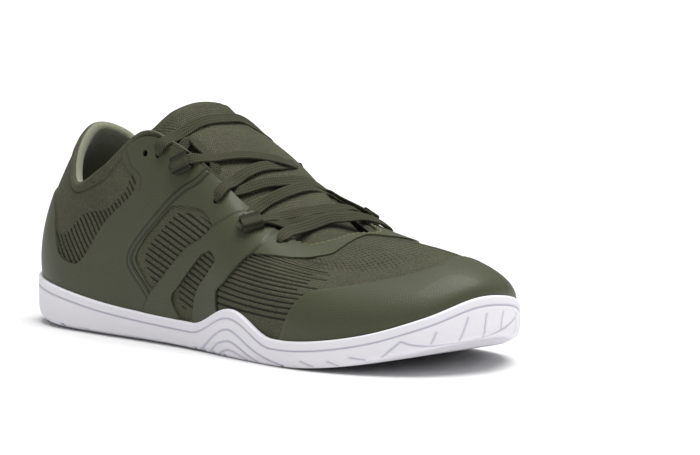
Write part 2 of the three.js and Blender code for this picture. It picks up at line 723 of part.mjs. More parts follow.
function webbingLoop(row, climb) {
  const up = skinNormal(row, climb);
  const climbing = skinPoint(row, climb + 0.1).sub(skinPoint(row, climb - 0.1));
  const around = climbing.clone().cross(up).normalize();
  const inward = up.clone().cross(around);
  const slot = { width: laceWidth + 2 * fitGap, height: laceThickness + 2 * fitGap };
  const outer = {
    width: slot.width + 2 * webbingThickness,
    height: slot.height + 2 * webbingThickness,
  };
  const rectangle = ({ width, height }, Kind) => new Kind([
    [-1, -1], [1, -1], [1, 1], [-1, 1],
  ].map(([a, b]) => new THREE.Vector2(a * width / 2, b * height / 2)));
  const shape = rectangle(outer, THREE.Shape);
  shape.holes.push(rectangle(slot, THREE.Path));
  const ring = new THREE.ExtrudeGeometry(shape, { depth: webbingWidth, bevelEnabled: false });
  ring.translate(0, 0, -webbingWidth / 2);
  const seat = filmThickness + 3 * fitGap + outer.height / 2;
  ring.applyMatrix4(new THREE.Matrix4().makeBasis(inward, up, inward.clone().cross(up)));
  ring.translate(...skinPoint(row, climb).addScaledVector(up, seat).toArray());
  return solidOf(ring);
}

// Materials

const finish = (color, roughness) => (
  new THREE.MeshStandardMaterial({ color, roughness, metalness: 0 })
);
const knit = 0x58543f;
const film = 0x4a4c3d;
const rubber = 0xdedce3;
const lining = 0x5f614f;
const cord = 0x555240;

const shoe = new THREE.Group();

function addPiece(name, solid, color, roughness) {
  const mesh = new THREE.Mesh(geometryOf(solid), finish(color, roughness));
  mesh.name = name;
  shoe.add(mesh);
}

addPiece('outsole', outsole(), rubber, 0.6);
addPiece('upper', punchThrough(upperShell()), knit, 0.9);
addPiece('quarter_film', quarterFilm(), film, 0.5);
addPiece('toe_guard', toeGuard(), film, 0.5);
addPiece('insole', insole(), lining, 0.95);
addPiece('tongue', tongue(), lining, 0.9);
addPiece('lace_bottom', laceSolid(laceRoutes.bottom), cord, 0.9);
addPiece('lace_top', laceSolid(laceRoutes.top), cord, 0.9);
addPiece(
  'lace_crossings',
  laceCrossings.map((key) => laceSolid(laceRoutes[key])).reduce((all, strand) => all.add(strand)),
  cord,
  0.9,
);
for (const { name, row, climb } of loopTable) {
  addPiece(`webbing_loop_${name}_outer`, webbingLoop(row, climb), cord, 0.9);
  addPiece(`webbing_loop_${name}_inner`, webbingLoop(rowCount - row, climb), cord, 0.9);
}

// The origin is on the floor, under the middle of the shoe
const box = new THREE.Box3().setFromObject(shoe);
const centre = box.getCenter(new THREE.Vector3());
shoe.position.set(-centre.x, -centre.y, -box.min.z);

export default shoe;
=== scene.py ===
"""A low-cut barefoot training shoe for the right foot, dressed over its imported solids."""

import math

import bpy
import numpy as np
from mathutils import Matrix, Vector


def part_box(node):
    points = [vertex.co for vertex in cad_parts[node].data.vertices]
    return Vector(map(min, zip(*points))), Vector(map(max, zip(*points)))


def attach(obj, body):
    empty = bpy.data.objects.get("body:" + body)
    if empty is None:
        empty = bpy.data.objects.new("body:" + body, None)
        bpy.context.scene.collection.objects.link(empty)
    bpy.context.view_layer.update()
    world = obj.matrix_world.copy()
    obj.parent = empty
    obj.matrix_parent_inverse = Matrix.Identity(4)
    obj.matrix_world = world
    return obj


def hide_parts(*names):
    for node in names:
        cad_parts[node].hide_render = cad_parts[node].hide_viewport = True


bl_info = {
    "name": "Barefoot shoe",
    "version": (1, 0, 0),
    "blender": (4, 5, 0),
    "location": "3D View > Sidebar > Shoe",
    "description": "Builds the visible pieces of a barefoot training shoe",
    "category": "Add Mesh",
}

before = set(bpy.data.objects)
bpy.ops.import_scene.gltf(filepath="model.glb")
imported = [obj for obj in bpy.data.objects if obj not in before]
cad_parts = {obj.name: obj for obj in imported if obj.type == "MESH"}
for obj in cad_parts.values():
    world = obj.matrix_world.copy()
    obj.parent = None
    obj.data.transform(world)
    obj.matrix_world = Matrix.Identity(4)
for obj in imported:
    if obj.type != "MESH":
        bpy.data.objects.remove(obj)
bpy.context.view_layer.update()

# Sizes of the last in millimetres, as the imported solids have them
LENGTH = 267.0
BALL = 95.0
INSTEP = 92.0
RIM = 12.0

# A row is a section of the upper: toe tip, outer side, heel back, inner side. Shares: along, run
# and edge_along of LENGTH; across, edge_across and flare of BALL; rim of RIM; edge_height, rise
# and drop of INSTEP.
# along, across, rim, edge_along, edge_across, edge_height, rise, flare, run, drop
LAST = (
    (1.000, 0.063, 2.72, 0.672, 0.021, 0.562, 0.130, 0.032, 0.187, -0.022),
    (0.996, -0.105, 2.72, 0.668, -0.105, 0.542, 0.130, 0.032, 0.172, -0.011),
    (0.955, -0.300, 2.08, 0.645, -0.195, 0.528, 0.141, 0.032, 0.135, 0.033),
    (0.869, -0.442, 1.40, 0.605, -0.242, 0.592, 0.207, 0.032, 0.090, 0.087),
    (0.753, -0.516, 1.00, 0.543, -0.274, 0.707, 0.272, 0.042, 0.052, 0.109),
    (0.625, -0.484, 1.00, 0.472, -0.284, 0.848, 0.283, 0.021, 0.049, 0.174),
    (0.494, -0.421, 1.00, 0.389, -0.300, 0.962, 0.359, 0.000, 0.037, 0.218),
    (0.363, -0.389, 1.07, 0.313, -0.311, 1.000, 0.370, 0.000, 0.030, 0.261),
    (0.232, -0.379, 1.27, 0.217, -0.326, 0.799, 0.217, 0.000, 0.007, 0.196),
    (0.105, -0.342, 1.63, 0.139, -0.295, 0.707, 0.174, 0.011, 0.011, 0.141),
    (0.026, -0.211, 1.83, 0.086, -0.158, 0.864, 0.239, 0.032, 0.030, 0.152),
    (0.000, 0.000, 1.96, 0.064, 0.021, 0.973, 0.261, 0.032, 0.030, 0.174),
    (0.026, 0.200, 1.88, 0.090, 0.179, 0.924, 0.239, 0.032, 0.030, 0.174),
    (0.105, 0.326, 1.67, 0.139, 0.284, 0.761, 0.174, 0.011, 0.011, 0.141),
    (0.232, 0.347, 1.33, 0.225, 0.316, 0.826, 0.217, 0.000, 0.007, 0.196),
    (0.360, 0.326, 1.17, 0.318, 0.316, 0.975, 0.370, -0.021, 0.030, 0.261),
    (0.487, 0.326, 1.17, 0.408, 0.305, 0.900, 0.391, -0.021, 0.037, 0.230),
    (0.614, 0.400, 1.17, 0.487, 0.284, 0.765, 0.304, 0.000, 0.049, 0.174),
    (0.742, 0.484, 1.08, 0.569, 0.263, 0.668, 0.261, 0.032, 0.052, 0.109),
    (0.846, 0.479, 1.29, 0.637, 0.232, 0.595, 0.217, 0.032, 0.082, 0.065),
    (0.921, 0.389, 1.75, 0.677, 0.179, 0.568, 0.152, 0.032, 0.124, 0.043),
    (0.974, 0.232, 2.38, 0.682, 0.100, 0.562, 0.130, 0.032, 0.161, 0.011),
)
UNITS = (LENGTH, BALL, RIM, LENGTH, BALL, INSTEP, INSTEP, BALL, LENGTH, INSTEP)
ROWS = np.array(LAST) * np.array(UNITS)
ROW_COUNT = len(ROWS)
HEEL_ROW = ROW_COUNT / 2

# Sizes that the sole shares with its solid
SOLE_THICKNESS = 6.0
RIM_WALL = 2.2
CUP_GAP = 0.3
SIDE_OUT = CUP_GAP + RIM_WALL
RIM_BAND = 4.0
SPRING_START = 185.0
TOE_SPRING = 13.0
HEEL_BEVEL = 3.5
HEEL_BEVEL_END = 38.0
WAVE = {"centre": 0.588 * LENGTH, "half": 0.112 * LENGTH, "height": 0.775 * RIM}

# Walls and skins
WALL = 1.8
COLLAR_PAD = 5.0
FILM_SEAT = 0.05
FILM = 0.75
STRAP_STEP = 0.4
PIPING_CORD = 0.45
PIPING_HALF = 1.05

# Rough width of a row's span and height of a section, to measure flat distances on the skin
ROW_SPAN = 24.0
CLIMB_SPAN = 76.0

MM = 0.001


# Shapes of the last

def smooth(value, low, high):
    """0 below low, 1 above high and an even turn between them."""
    share = np.clip((np.asarray(value, float) - low) / (high - low), 0, 1)
    return share * share * (3 - 2 * share)


def bell(gap, width):
    """1 where gap is 0, falling smoothly to 0 over about two widths."""
    return np.exp(-((gap / width) ** 2))


def unit(vectors):
    """Vectors brought to length 1."""
    return vectors / np.linalg.norm(vectors, axis=-1, keepdims=True)


def spline(a, b, c, d, f):
    """Places on a smooth curve from b to c, for f from 0 to 1."""
    return 0.5 * (
        2 * b
        + (c - a) * f
        + (2 * a - 5 * b + 4 * c - d) * f**2
        + (3 * b - a - 3 * c + d) * f**3
    )


def row_values(rows):
    """The last's ten values at whole or broken rows, on a smooth closed curve."""
    rows = np.asarray(rows, float)
    start = np.floor(rows).astype(int)
    f = (rows - start)[..., None]
    return spline(*(ROWS[(start + k) % ROW_COUNT] for k in (-1, 0, 1, 2)), f)


def outward_at(rows):
    """Outward direction of the feather line in plan."""
    step = 0.02
    before = row_values(np.asarray(rows) - step)
    after = row_values(np.asarray(rows) + step)
    turn = np.stack([before[..., 1] - after[..., 1], after[..., 0] - before[..., 0]], -1)
    return unit(turn)


def skin(rows, climbs):
    """Points of the upper's outer surface: climb 0 at the feather line, 1 at the opening."""
    rows, climbs = np.broadcast_arrays(np.asarray(rows, float), np.asarray(climbs, float))
    x, y, rim, ex, ey, ez, rise, flare, run, drop = np.moveaxis(row_values(rows), -1, 0)
    foot = np.stack([x, y, rim], -1)
    edge = np.stack([ex, ey, ez], -1)
    inward = unit(np.stack([ex - x, ey - y], -1))
    out = outward_at(rows)
    low = foot + np.stack([out[..., 0] * flare, out[..., 1] * flare, rise], -1)
    high = edge - np.stack([inward[..., 0] * run, inward[..., 1] * run, drop], -1)
    t = climbs[..., None]
    return (
        foot * (1 - t) ** 3
        + 3 * low * t * (1 - t) ** 2
        + 3 * high * t**2 * (1 - t)
        + edge * t**3
    )


def skin_normal(rows, climbs):
    """Outward normals of that surface."""
    step = 0.01
    climbs = np.asarray(climbs, float)
    up = skin(rows, np.minimum(climbs + step, 1)) - skin(rows, np.maximum(climbs - step, 0))
    along = skin(np.asarray(rows) + step, climbs) - skin(np.asarray(rows) - step, climbs)
    return unit(np.cross(up, along))


def folded(rows):
    """Row of the outer side that mirrors a row of either side, from 0 at the toe to the heel."""
    rows = np.asarray(rows, float) % ROW_COUNT
    return np.minimum(rows, ROW_COUNT - rows)


def underside(x):
    """The ground side of the sole, lifted at the toe and a little at the heel."""
    spring = np.clip((x - SPRING_START) / (LENGTH - SPRING_START), 0, None)
    bevel = np.clip((HEEL_BEVEL_END - x) / HEEL_BEVEL_END, 0, None)
    return TOE_SPRING * spring**2 + HEEL_BEVEL * bevel**2


def foot_bed(x):
    """Height of the sole's inner floor."""
    spring = np.clip((x - SPRING_START) / (LENGTH - SPRING_START), 0, None)
    return SOLE_THICKNESS + TOE_SPRING * spring**2


def wave_at(x, y):
    """Share of the side wave's full height, on the outer side alone."""
    reach = (x - WAVE["centre"]) / WAVE["half"]
    inside = (y <= 0) & (np.abs(reach) < 1)
    return np.where(inside, np.cos(reach * np.pi / 2) ** 2, 0)


# Outlines on the flattened skin

def on_sheet(points):
    """Row and climb pairs as flat millimetres."""
    return np.asarray(points, float) * (ROW_SPAN, CLIMB_SPAN)


def curve_through(points, steps=8, closed=False):
    """A smooth run of points through given ones."""
    points = np.asarray(points, float)
    if closed:
        padded = np.vstack([points[-1:], points, points[:2]])
    else:
        first = 2 * points[0] - points[1]
        last = 2 * points[-1] - points[-2]
        padded = np.vstack([first, points, last])
    f = np.linspace(0, 1, steps, endpoint=False)[:, None]
    run = [spline(*four, f) for four in zip(padded, padded[1:], padded[2:], padded[3:])]
    if not closed:
        run.append(padded[-2:-1])
    return np.vstack(run)


def softened(outline, reach=3.0):
    """An outline with each corner turned into a short bend."""
    bend = []
    count = len(outline)
    for k, corner in enumerate(outline):
        sides = []
        for near in (outline[k - 1], outline[(k + 1) % count]):
            span = np.linalg.norm(near - corner)
            sides.append(corner + (near - corner) * min(reach / max(span, 1e-9), 0.45))
        for share in (0, 0.25, 0.5, 0.75, 1):
            bend.append(
                sides[0] * (1 - share) ** 2
                + 2 * corner * share * (1 - share)
                + sides[1] * share**2
            )
    return np.array(bend)


def line_distance(points, line):
    """Distance from each flat point to a run of points."""
    best = np.full(len(points), 1e9)
    for a, b in zip(line, line[1:]):
        span = b - a
        share = np.clip(((points - a) @ span) / max(span @ span, 1e-9), 0, 1)
        gap = points - a - share[:, None] * span
        best = np.minimum(best, np.einsum("ij,ij->i", gap, gap))
    return np.sqrt(best)


def inside_distance(points, outline):
    """Distance to an outline, above 0 inside it."""
    closed = np.vstack([outline, outline[:1]])
    inside = np.zeros(len(points), bool)
    x, y = points.T
    for (x0, y0), (x1, y1) in zip(closed, closed[1:]):
        if y0 == y1:
            continue
        crossing = (y0 > y) != (y1 > y)
        inside ^= crossing & (x < x0 + (y - y0) * (x1 - x0) / (y1 - y0))
    return np.where(inside, 1, -1) * line_distance(points, closed)


# Overlay outlines by row and climb on the outer side. The inner side mirrors them.
STRAP_FRONT = (
    (5.56, -0.10), (5.57, 0.04), (5.60, 0.12), (5.56, 0.19), (5.38, 0.235), (5.09, 0.33),
    (4.85, 0.40), (4.61, 0.46), (4.44, 0.495),
)
EYESTAY_LOW = (
    (4.20, 0.515), (3.98, 0.533), (3.58, 0.568), (3.12, 0.637), (2.52, 0.735), (2.00, 0.80),
    (1.58, 0.845), (1.10, 0.88), (0.60, 0.905), (0.00, 0.915), (-1.00, 0.92), (-3.00, 0.92),
)
FILM_AREA = ((13.0, -0.10),) + STRAP_FRONT + EYESTAY_LOW + ((-3.0, 1.3), (13.0, 1.3))
WINDOW_LEFT = (
    (6.97, 0.10), (7.20, 0.21), (7.28, 0.27), (7.20, 0.32), (7.02, 0.39), (6.74, 0.47),
    (6.36, 0.575),
)
STRAP_BACK = (
    (5.34, 0.555), (5.78, 0.43), (6.14, 0.36), (6.48, 0.26), (6.78, 0.16), (6.97, 0.10),
)
REAR_WINDOW = WINDOW_LEFT + ((5.58, 0.625), (5.46, 0.61)) + STRAP_BACK[:-1]
STRAP_WINDOW = (
    (5.66, 0.375), (5.56, 0.395), (5.47, 0.37), (5.46, 0.35), (5.70, 0.26), (6.00, 0.16),
    (6.10, 0.08), (6.14, -0.10), (6.25, -0.05), (6.56, 0.07), (6.54, 0.11), (6.44, 0.135),
    (6.18, 0.23), (5.90, 0.32), (5.75, 0.36),
)
FABRIC_QUARTER = (
    (13.0, 1.4), (13.0, 0.57), (10.4, 0.57), (9.75, 0.58), (9.42, 0.56), (9.12, 0.42),
    (8.92, 0.30), (8.76, 0.26), (8.44, 0.25), (8.30, 0.33), (8.14, 0.44), (7.99, 0.52),
    (7.87, 0.573), (7.57, 0.618), (7.28, 0.65), (7.16, 0.70), (7.20, 0.76), (7.34, 0.83),
    (7.45, 0.93), (7.42, 0.975), (7.42, 1.4),
)
STRAP = ((2.90, 1.06), (4.14, 0.85)) + STRAP_BACK + ((7.10, 0.03), (7.13, -0.10)) + STRAP_FRONT + (
    (4.06, 0.60), (3.33, 0.87),
)
TOE_TOP = (
    (4.50, -0.10), (4.25, 0.05), (4.08, 0.16), (3.76, 0.27), (3.48, 0.34), (2.62, 0.42),
    (1.92, 0.455), (1.38, 0.435), (1.02, 0.43), (0.60, 0.46), (0.00, 0.49), (-1.00, 0.52),
)
TOE_AREA = TOE_TOP + ((-3.0, 0.50), (-3.0, -0.10))
PIPING_LINE = (
    (5.15, 0.95), (5.56, 0.80), (6.00, 0.695), (6.42, 0.59), (6.82, 0.48), (7.10, 0.40),
    (7.29, 0.335), (7.37, 0.27), (7.29, 0.20), (7.10, 0.12), (6.98, 0.07), (6.86, 0.02),
    (6.74, -0.03),
)
QUARTER_LINE = ((7.34, 0.965), (7.26, 0.84), (7.07, 0.74), (7.10, 0.66))
COLLAR_SEAM = (
    (13.0, 0.93), (10.4, 0.94), (9.32, 0.945), (8.66, 0.93), (8.18, 0.915), (7.84, 0.91),
    (7.42, 0.945), (7.10, 0.965), (6.66, 0.985), (6.2, 0.99),
)
EYELETS = ((3.52, 0.71), (5.08, 0.755), (6.56, 0.865), (6.92, 0.87))
EYELET_RADIUS = 1.55
FILM_TOP = 0.972


def film_field(rows, climbs):
    """How far inside the quarter film each point lies."""
    points = on_sheet(np.stack([folded(rows), climbs], -1).reshape(-1, 2))
    field = inside_distance(points, softened(on_sheet(FILM_AREA)))
    field = np.minimum(field, (FILM_TOP - points[:, 1] / CLIMB_SPAN) * CLIMB_SPAN)
    for hole in (REAR_WINDOW, STRAP_WINDOW, FABRIC_QUARTER):
        field = np.minimum(field, -inside_distance(points, softened(on_sheet(hole))))
    places = skin(rows, climbs).reshape(-1, 3)
    for row, climb in EYELETS:
        for side in (row, ROW_COUNT - row):
            gap = np.linalg.norm(places - skin(side, climb), axis=1)
            field = np.minimum(field, gap - EYELET_RADIUS)
    return field.reshape(np.shape(climbs))


def toe_field(rows, climbs):
    """How far inside the toe guard each point lies."""
    points = on_sheet(np.stack([folded(rows), climbs], -1).reshape(-1, 2))
    return inside_distance(points, softened(on_sheet(TOE_AREA), 6.0)).reshape(np.shape(climbs))


# Meshes

def place():
    """Shift from the last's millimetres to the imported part's frame, found on the sole."""
    low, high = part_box("outsole")
    rows = np.linspace(0, ROW_COUNT, 2000)
    ring = row_values(rows)[:, :2] + outward_at(rows) * SIDE_OUT
    middle = (ring.min(0) + ring.max(0)) / 2
    across = (low.y + high.y) / 2 / MM - middle[1]
    along = (low.x + high.x) / 2 / MM - middle[0]
    return np.array([along, across, 0.0])


SHIFT = place()


def add_mesh(name, points, faces, materials, slot, nodes=(), face_slots=None, values=None,
             sheet=None, sharp=None):
    """A piece from points in the last's millimetres and faces of any size."""
    mesh = bpy.data.meshes.new(name)
    mesh.from_pydata(((np.asarray(points) + SHIFT) * MM).tolist(), [], faces)
    mesh.polygons.foreach_set("use_smooth", [True] * len(mesh.polygons))
    for material in materials:
        mesh.materials.append(material)
    if face_slots is not None:
        mesh.polygons.foreach_set("material_index", face_slots)
    for key, numbers in (values or {}).items():
        layer = mesh.attributes.new(key, "FLOAT", "POINT")
        layer.data.foreach_set("value", np.asarray(numbers, np.float32).ravel())
    if sheet is not None:
        corners = np.empty(len(mesh.loops), np.int32)
        mesh.loops.foreach_get("vertex_index", corners)
        layer = mesh.uv_layers.new(name="weave")
        layer.data.foreach_set("uv", np.asarray(sheet, np.float32)[corners].ravel())
    if sharp is not None:
        mesh.set_sharp_from_angle(angle=math.radians(sharp))
    mesh.update()
    piece = bpy.data.objects.new(name, mesh)
    bpy.context.scene.collection.objects.link(piece)
    if nodes:
        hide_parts(*nodes)
    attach(piece, "root")
    return piece


def grid_faces(across, up, close_across=False, close_up=False, base=0):
    """Quads of a grid of points, with the up index running fastest."""
    i = np.arange(across if close_across else across - 1)
    j = np.arange(up if close_up else up - 1)
    i, j = np.meshgrid(i, j, indexing="ij")
    i2, j2 = (i + 1) % across, (j + 1) % up
    quads = np.stack([i * up + j, i2 * up + j, i2 * up + j2, i * up + j2], -1)
    return (quads.reshape(-1, 4) + base).tolist()


def add_grid(name, points, *args, close_across=False, close_up=False, caps=False, flip=False,
             **kwargs):
    """A piece from a grid of points. Caps close both ends of a tube."""
    across, up = points.shape[:2]
    faces = grid_faces(across, up, close_across, close_up)
    if caps:
        faces.append(list(range(up))[::-1])
        faces.append([(across - 1) * up + k for k in range(up)])
    if flip:
        faces = [face[::-1] for face in faces]
    return add_mesh(name, points.reshape(-1, 3), faces, *args, **kwargs)


def spread(spans):
    """Rows at uneven steps, from (start, end, step) spans."""
    return np.concatenate([np.arange(a, b - step / 2, step) for a, b, step in spans])


def cut_sheet(rows, climbs, field):
    """The part of a row and climb grid where field is above 0, with its edge cut to the line.
    The last row joins the first."""
    across, up = len(rows), len(climbs)
    corners = np.stack(np.meshgrid(rows, climbs, indexing="ij"), -1).reshape(-1, 2)
    level = field.reshape(-1)
    places, faces, number = [], [], {}

    def corner(k):
        if k not in number:
            number[k] = len(places)
            places.append(corners[k])
        return number[k]

    def crossing(a, b):
        key = (min(a, b), max(a, b))
        if key not in number:
            a, b = key
            start, end = corners[a].copy(), corners[b].copy()
            if end[0] - start[0] > HEEL_ROW:
                start[0] += ROW_COUNT
            number[key] = len(places)
            places.append(start + (end - start) * level[a] / (level[a] - level[b]))
        return number[key]

    signs = (level > 0).reshape(across, up)
    after = np.roll(signs, -1, axis=0)
    touched = signs[:, :-1] | after[:, :-1] | after[:, 1:] | signs[:, 1:]
    for i, j in zip(*np.nonzero(touched)):
        here, there = i * up + j, (i + 1) % across * up + j
        ring = (here, there, there + 1, here + 1)
        face = []
        for a, b in zip(ring, ring[1:] + ring[:1]):
            if level[a] > 0:
                face.append(corner(a))
            if (level[a] > 0) != (level[b] > 0):
                face.append(crossing(a, b))
        if len(face) > 2:
            faces.append(face)
    return np.array(places), faces


def add_film(name, rows, climbs, field_of, height_of, shade_of, material, node):
    """A thin closed sheet on the skin, cut along its outline."""
    grid = np.meshgrid(rows, climbs, indexing="ij")
    places, faces = cut_sheet(rows, climbs, field_of(*grid))
    out = skin_normal(places[:, 0], places[:, 1])
    base = skin(places[:, 0], places[:, 1])
    top = base + out * (FILM_SEAT + height_of(places[:, 0], places[:, 1]))[:, None]
    count = len(places)
    edges = {}
    for face in faces:
        for a, b in zip(face, face[1:] + face[:1]):
            edges[(a, b)] = True
    rim = [(a, b) for a, b in edges if (b, a) not in edges]
    walls = [[b, a, a + count, b + count] for a, b in rim]
    under = [[k + count for k in face[::-1]] for face in faces]
    points = np.vstack([top, base + out * FILM_SEAT])
    flat = np.vstack([on_sheet(places)] * 2)
    return add_mesh(
        name, points, faces + walls + under, [material], "film", (node,),
        values={"shade": np.tile(shade_of(places), 2)}, sheet=flat, sharp=50,
    )


def strap_field(places):
    """How far inside the raised strap each place lies."""
    points = on_sheet(np.stack([folded(places[:, 0]), places[:, 1]], -1))
    return inside_distance(points, softened(on_sheet(STRAP), 1.0))


def film_height(rows, climbs):
    """Thickness of the quarter film: the strap lies on it, and a piped line is pressed in."""
    places = np.stack([rows, climbs], -1)
    height = FILM + STRAP_STEP * smooth(strap_field(places), -0.25, 0.25)
    piping, quarter, free = film_lines(places)
    height = height + free * PIPING_CORD * bell(piping, 0.6)
    height = height - free * 0.34 * bell(piping - PIPING_HALF, 0.32)
    return height - 0.2 * bell(quarter, 0.4)


def film_lines(places):
    """Distances to the film's two pressed lines, and where the strap leaves the first free."""
    flat = on_sheet(np.stack([folded(places[:, 0]), places[:, 1]], -1))
    piping = line_distance(flat, on_sheet(curve_through(PIPING_LINE)))
    quarter = line_distance(flat, on_sheet(curve_through(QUARTER_LINE)))
    return piping, quarter, smooth(strap_field(places), 0.3, -0.3)


def film_shade(places):
    """How strongly the film's lines are painted with shade: both sides of the piped cord, and the
    strap's edge.
    """
    piping, quarter, free = film_lines(places)
    cord = free * bell(piping - PIPING_HALF, 0.36)
    edge = bell(strap_field(places) + 0.25, 0.38)
    return np.maximum(np.maximum(cord, 0.8 * edge), 0.45 * bell(quarter, 0.4))


TOE_EDGE = 0.35
TOE_SEAM_ROW = 21.75


def toe_seam(rows):
    """1 on the toe guard's short seam at the front, falling to 0 beside it."""
    gap = np.abs(np.asarray(rows) % ROW_COUNT - TOE_SEAM_ROW) * ROW_SPAN
    return bell(gap, 0.5)


def toe_height(rows, climbs):
    """Thickness of the toe guard, thin at its edge and pressed in at its seam."""
    body = (FILM - TOE_EDGE) * smooth(toe_field(rows, climbs), 0, 1.2)
    return TOE_EDGE + body - 0.25 * toe_seam(rows)


def toe_shade(places):
    """The toe guard's pressed seam reads a little darker, with painted shade."""
    return 0.5 * toe_seam(places[:, 0])


# Knit relief

RIB_TURN = math.radians(20)
RIB_PITCH = 2.75
LINE_FIRST = 0.036
LINE_SHRINK = 0.026

# Fields of slots in the two windows, by row and climb
REAR_SLOTS = (
    (6.95, 0.145), (7.06, 0.20), (7.12, 0.27), (7.04, 0.32), (6.86, 0.38), (6.56, 0.47),
    (6.25, 0.545), (5.72, 0.575), (5.40, 0.57), (5.0, 0.50), (6.0, 0.20), (6.75, 0.10),
)
STRAP_SLOTS = (
    (5.62, 0.345), (5.2, 0.36), (5.2, 0.2), (5.9, 0.04), (6.38, 0.05), (6.46, 0.12),
    (6.12, 0.23), (5.84, 0.315),
)
# The quarter's slashes follow the film's low edge and grow longer towards the heel
SLASH_EDGE = (
    (8.80, 0.27), (8.44, 0.25), (8.14, 0.44), (7.87, 0.573), (7.57, 0.618), (7.28, 0.65),
    (7.16, 0.72),
)
SLASH_TURN = math.radians(48)
SLASH_PITCH = 2.7


def knit_lines(rows, climbs, points):
    """The knit's pressed lines, which are also painted with shade: a count across them, and how far
    inside their field a point is.
    """
    row = folded(rows)
    flat = on_sheet(np.stack([row, climbs], -1))
    x, z = points[:, 0], points[:, 2]
    across = (math.sin(RIB_TURN) * x + math.cos(RIB_TURN) * z) / RIB_PITCH
    rear = inside_distance(flat, softened(on_sheet(REAR_SLOTS)))
    strap = inside_distance(flat, softened(on_sheet(STRAP_SLOTS), 1.5))
    inside = np.maximum(rear, strap)

    # Long lines of the forefoot run level round it and fade towards the toe
    room = np.clip(LINE_FIRST - LINE_SHRINK * (climbs - 0.12), 0.004, None)
    level = np.log(LINE_FIRST / room) / LINE_SHRINK
    number = np.round(level)
    end = np.interp(climbs, (0.1, 0.25, 0.32, 0.40, 0.50, 0.60), (3.9, 3.75, 3.6, 3.4, 3.0, 2.8))
    end = end + 0.16 * np.sin(2.4 * number)
    start = np.interp(climbs, (0, 0.12, 0.19, 0.33, 0.40, 0.46, 0.495, 0.57),
                      (5.6, 5.65, 5.6, 5.13, 4.9, 4.65, 4.5, 3.6))
    reach = np.minimum(row - end, start - row) * ROW_SPAN
    reach = np.minimum(reach, (climbs - 0.09) * CLIMB_SPAN)
    front = row < start + 0.1
    across = np.where(front, level, across)
    inside = np.where(front, reach, inside)

    # Slashes of the quarter
    edge = line_distance(flat, on_sheet(curve_through(SLASH_EDGE)))
    length = 5.5 + 12 * smooth(row, 7.7, 8.6)
    quarter = (row > 6.6) & (inside_distance(flat, softened(on_sheet(FABRIC_QUARTER))) > -2)
    slash = (math.sin(SLASH_TURN) * x + math.cos(SLASH_TURN) * z) / SLASH_PITCH
    across = np.where(quarter, slash, across)
    inside = np.where(quarter, np.minimum(edge - 0.7, length - edge), inside)
    return across, inside


def knit_relief(rows, climbs, lines, inside):
    """Height of the upper's cloth: pressed lines, the collar's seam and a few soft folds."""
    row = folded(rows)
    flat = on_sheet(np.stack([row, climbs], -1))
    phase = np.abs(lines - np.round(lines))
    groove = smooth(phase, 0.24, 0.10) * smooth(inside, -0.2, 0.9)
    seam = line_distance(flat, on_sheet(curve_through(COLLAR_SEAM)))
    level = np.interp(row, [p[0] for p in COLLAR_SEAM[::-1]], [p[1] for p in COLLAR_SEAM[::-1]])
    above = smooth((climbs - level) * CLIMB_SPAN, 0.0, 1.2) * (row > 6.2)
    height = -0.35 * groove - 0.45 * bell(seam, 0.55) * (row > 6.1)
    height = height + 0.55 * above
    for fold_row, fold_climb, run, rise, depth, turn in FOLDS:
        place = flat - on_sheet((fold_row, fold_climb))
        along = place[:, 0] * math.cos(turn) + place[:, 1] * math.sin(turn)
        side = place[:, 1] * math.cos(turn) - place[:, 0] * math.sin(turn)
        height = height + depth * np.exp(-((along / run) ** 2) - (side / rise) ** 2)
    return height


# Soft folds: row, climb, half run, half width, height, turn
FOLDS = (
    (2.6, 0.62, 16, 4.0, -0.45, 0.20),
    (1.6, 0.66, 14, 4.5, 0.35, 0.10),
    (3.1, 0.50, 15, 5.0, 0.40, 0.15),
    (8.2, 0.62, 12, 5.0, -0.50, 0.35),
    (9.4, 0.66, 10, 4.0, -0.40, 0.50),
)


# Sole

SIDE_LINES = (
    ((133.5, 0.6), (138, 3.4), (143, 7.2), (150, 11.2), (157, 12.4), (163.5, 10.4), (170, 7.3),
     (177.5, 4.5), (184, 2.8), (192, 1.2)),
    ((141, 0.6), (145, 3.4), (149, 5.9), (157, 7.4), (164, 5.5), (170, 3.1), (176.5, 0.8)),
    ((148, 0.6), (153, 2.9), (157, 3.6), (162, 2.8), (169, 0.7)),
)

# Lines of the toe's and forefoot's side, by row and share of the side's height
TOE_LINES = (
    ((1.77, 0.55), (1.86, 0.28)),
    ((1.16, 0.66), (1.24, 0.42), (1.33, 0.18)),
    ((0.67, 0.66), (0.72, 0.40), (0.73, 0.13)),
    ((0.05, 0.67), (0.12, 0.46), (0.14, 0.26)),
    ((2.36, 0.56), (2.50, 0.38), (2.65, 0.18)),
    ((2.36, 0.56), (2.19, 0.38), (1.89, 0.22), (1.54, 0.15), (1.10, 0.10), (0.71, 0.13),
     (0.28, 0.22), (-0.18, 0.35), (-0.61, 0.54)),
    ((3.90, 0.30), (3.72, 0.08)),
    ((3.49, 0.27), (3.33, 0.05)),
    ((3.16, 0.34), (2.92, 0.17)),
)
TREAD_NOTCHES = (8.72, 8.24, 6.04, 5.85, 5.64, 5.40, 4.23)
EDGE_ROUND = 5.0

PIVOT = (0.704 * LENGTH, 0.24 * BALL)
PIVOT_RADIUS = 19.5
LUG = 13.0
LUGS = (
    (0.862, 0.34), (0.918, 0.27), (0.862, 0.16), (0.922, 0.10), (0.846, -0.02), (0.905, -0.07),
    (0.690, -0.17), (0.757, -0.17), (0.824, -0.17), (0.880, -0.22),
    (0.662, -0.33), (0.728, -0.33), (0.795, -0.33), (0.850, -0.37),
)
LUG_SHAPE = (
    (-0.35, 1.0), (0.75, 0.0), (-0.35, -1.0), (-0.85, -0.6), (-0.12, 0.0), (-0.85, 0.6),
    (-0.35, 1.0),
)
ARCH_RECESS = 1.0
# Further than any line reaches
FAR = 100.0
TREAD_SLAB = 3.2


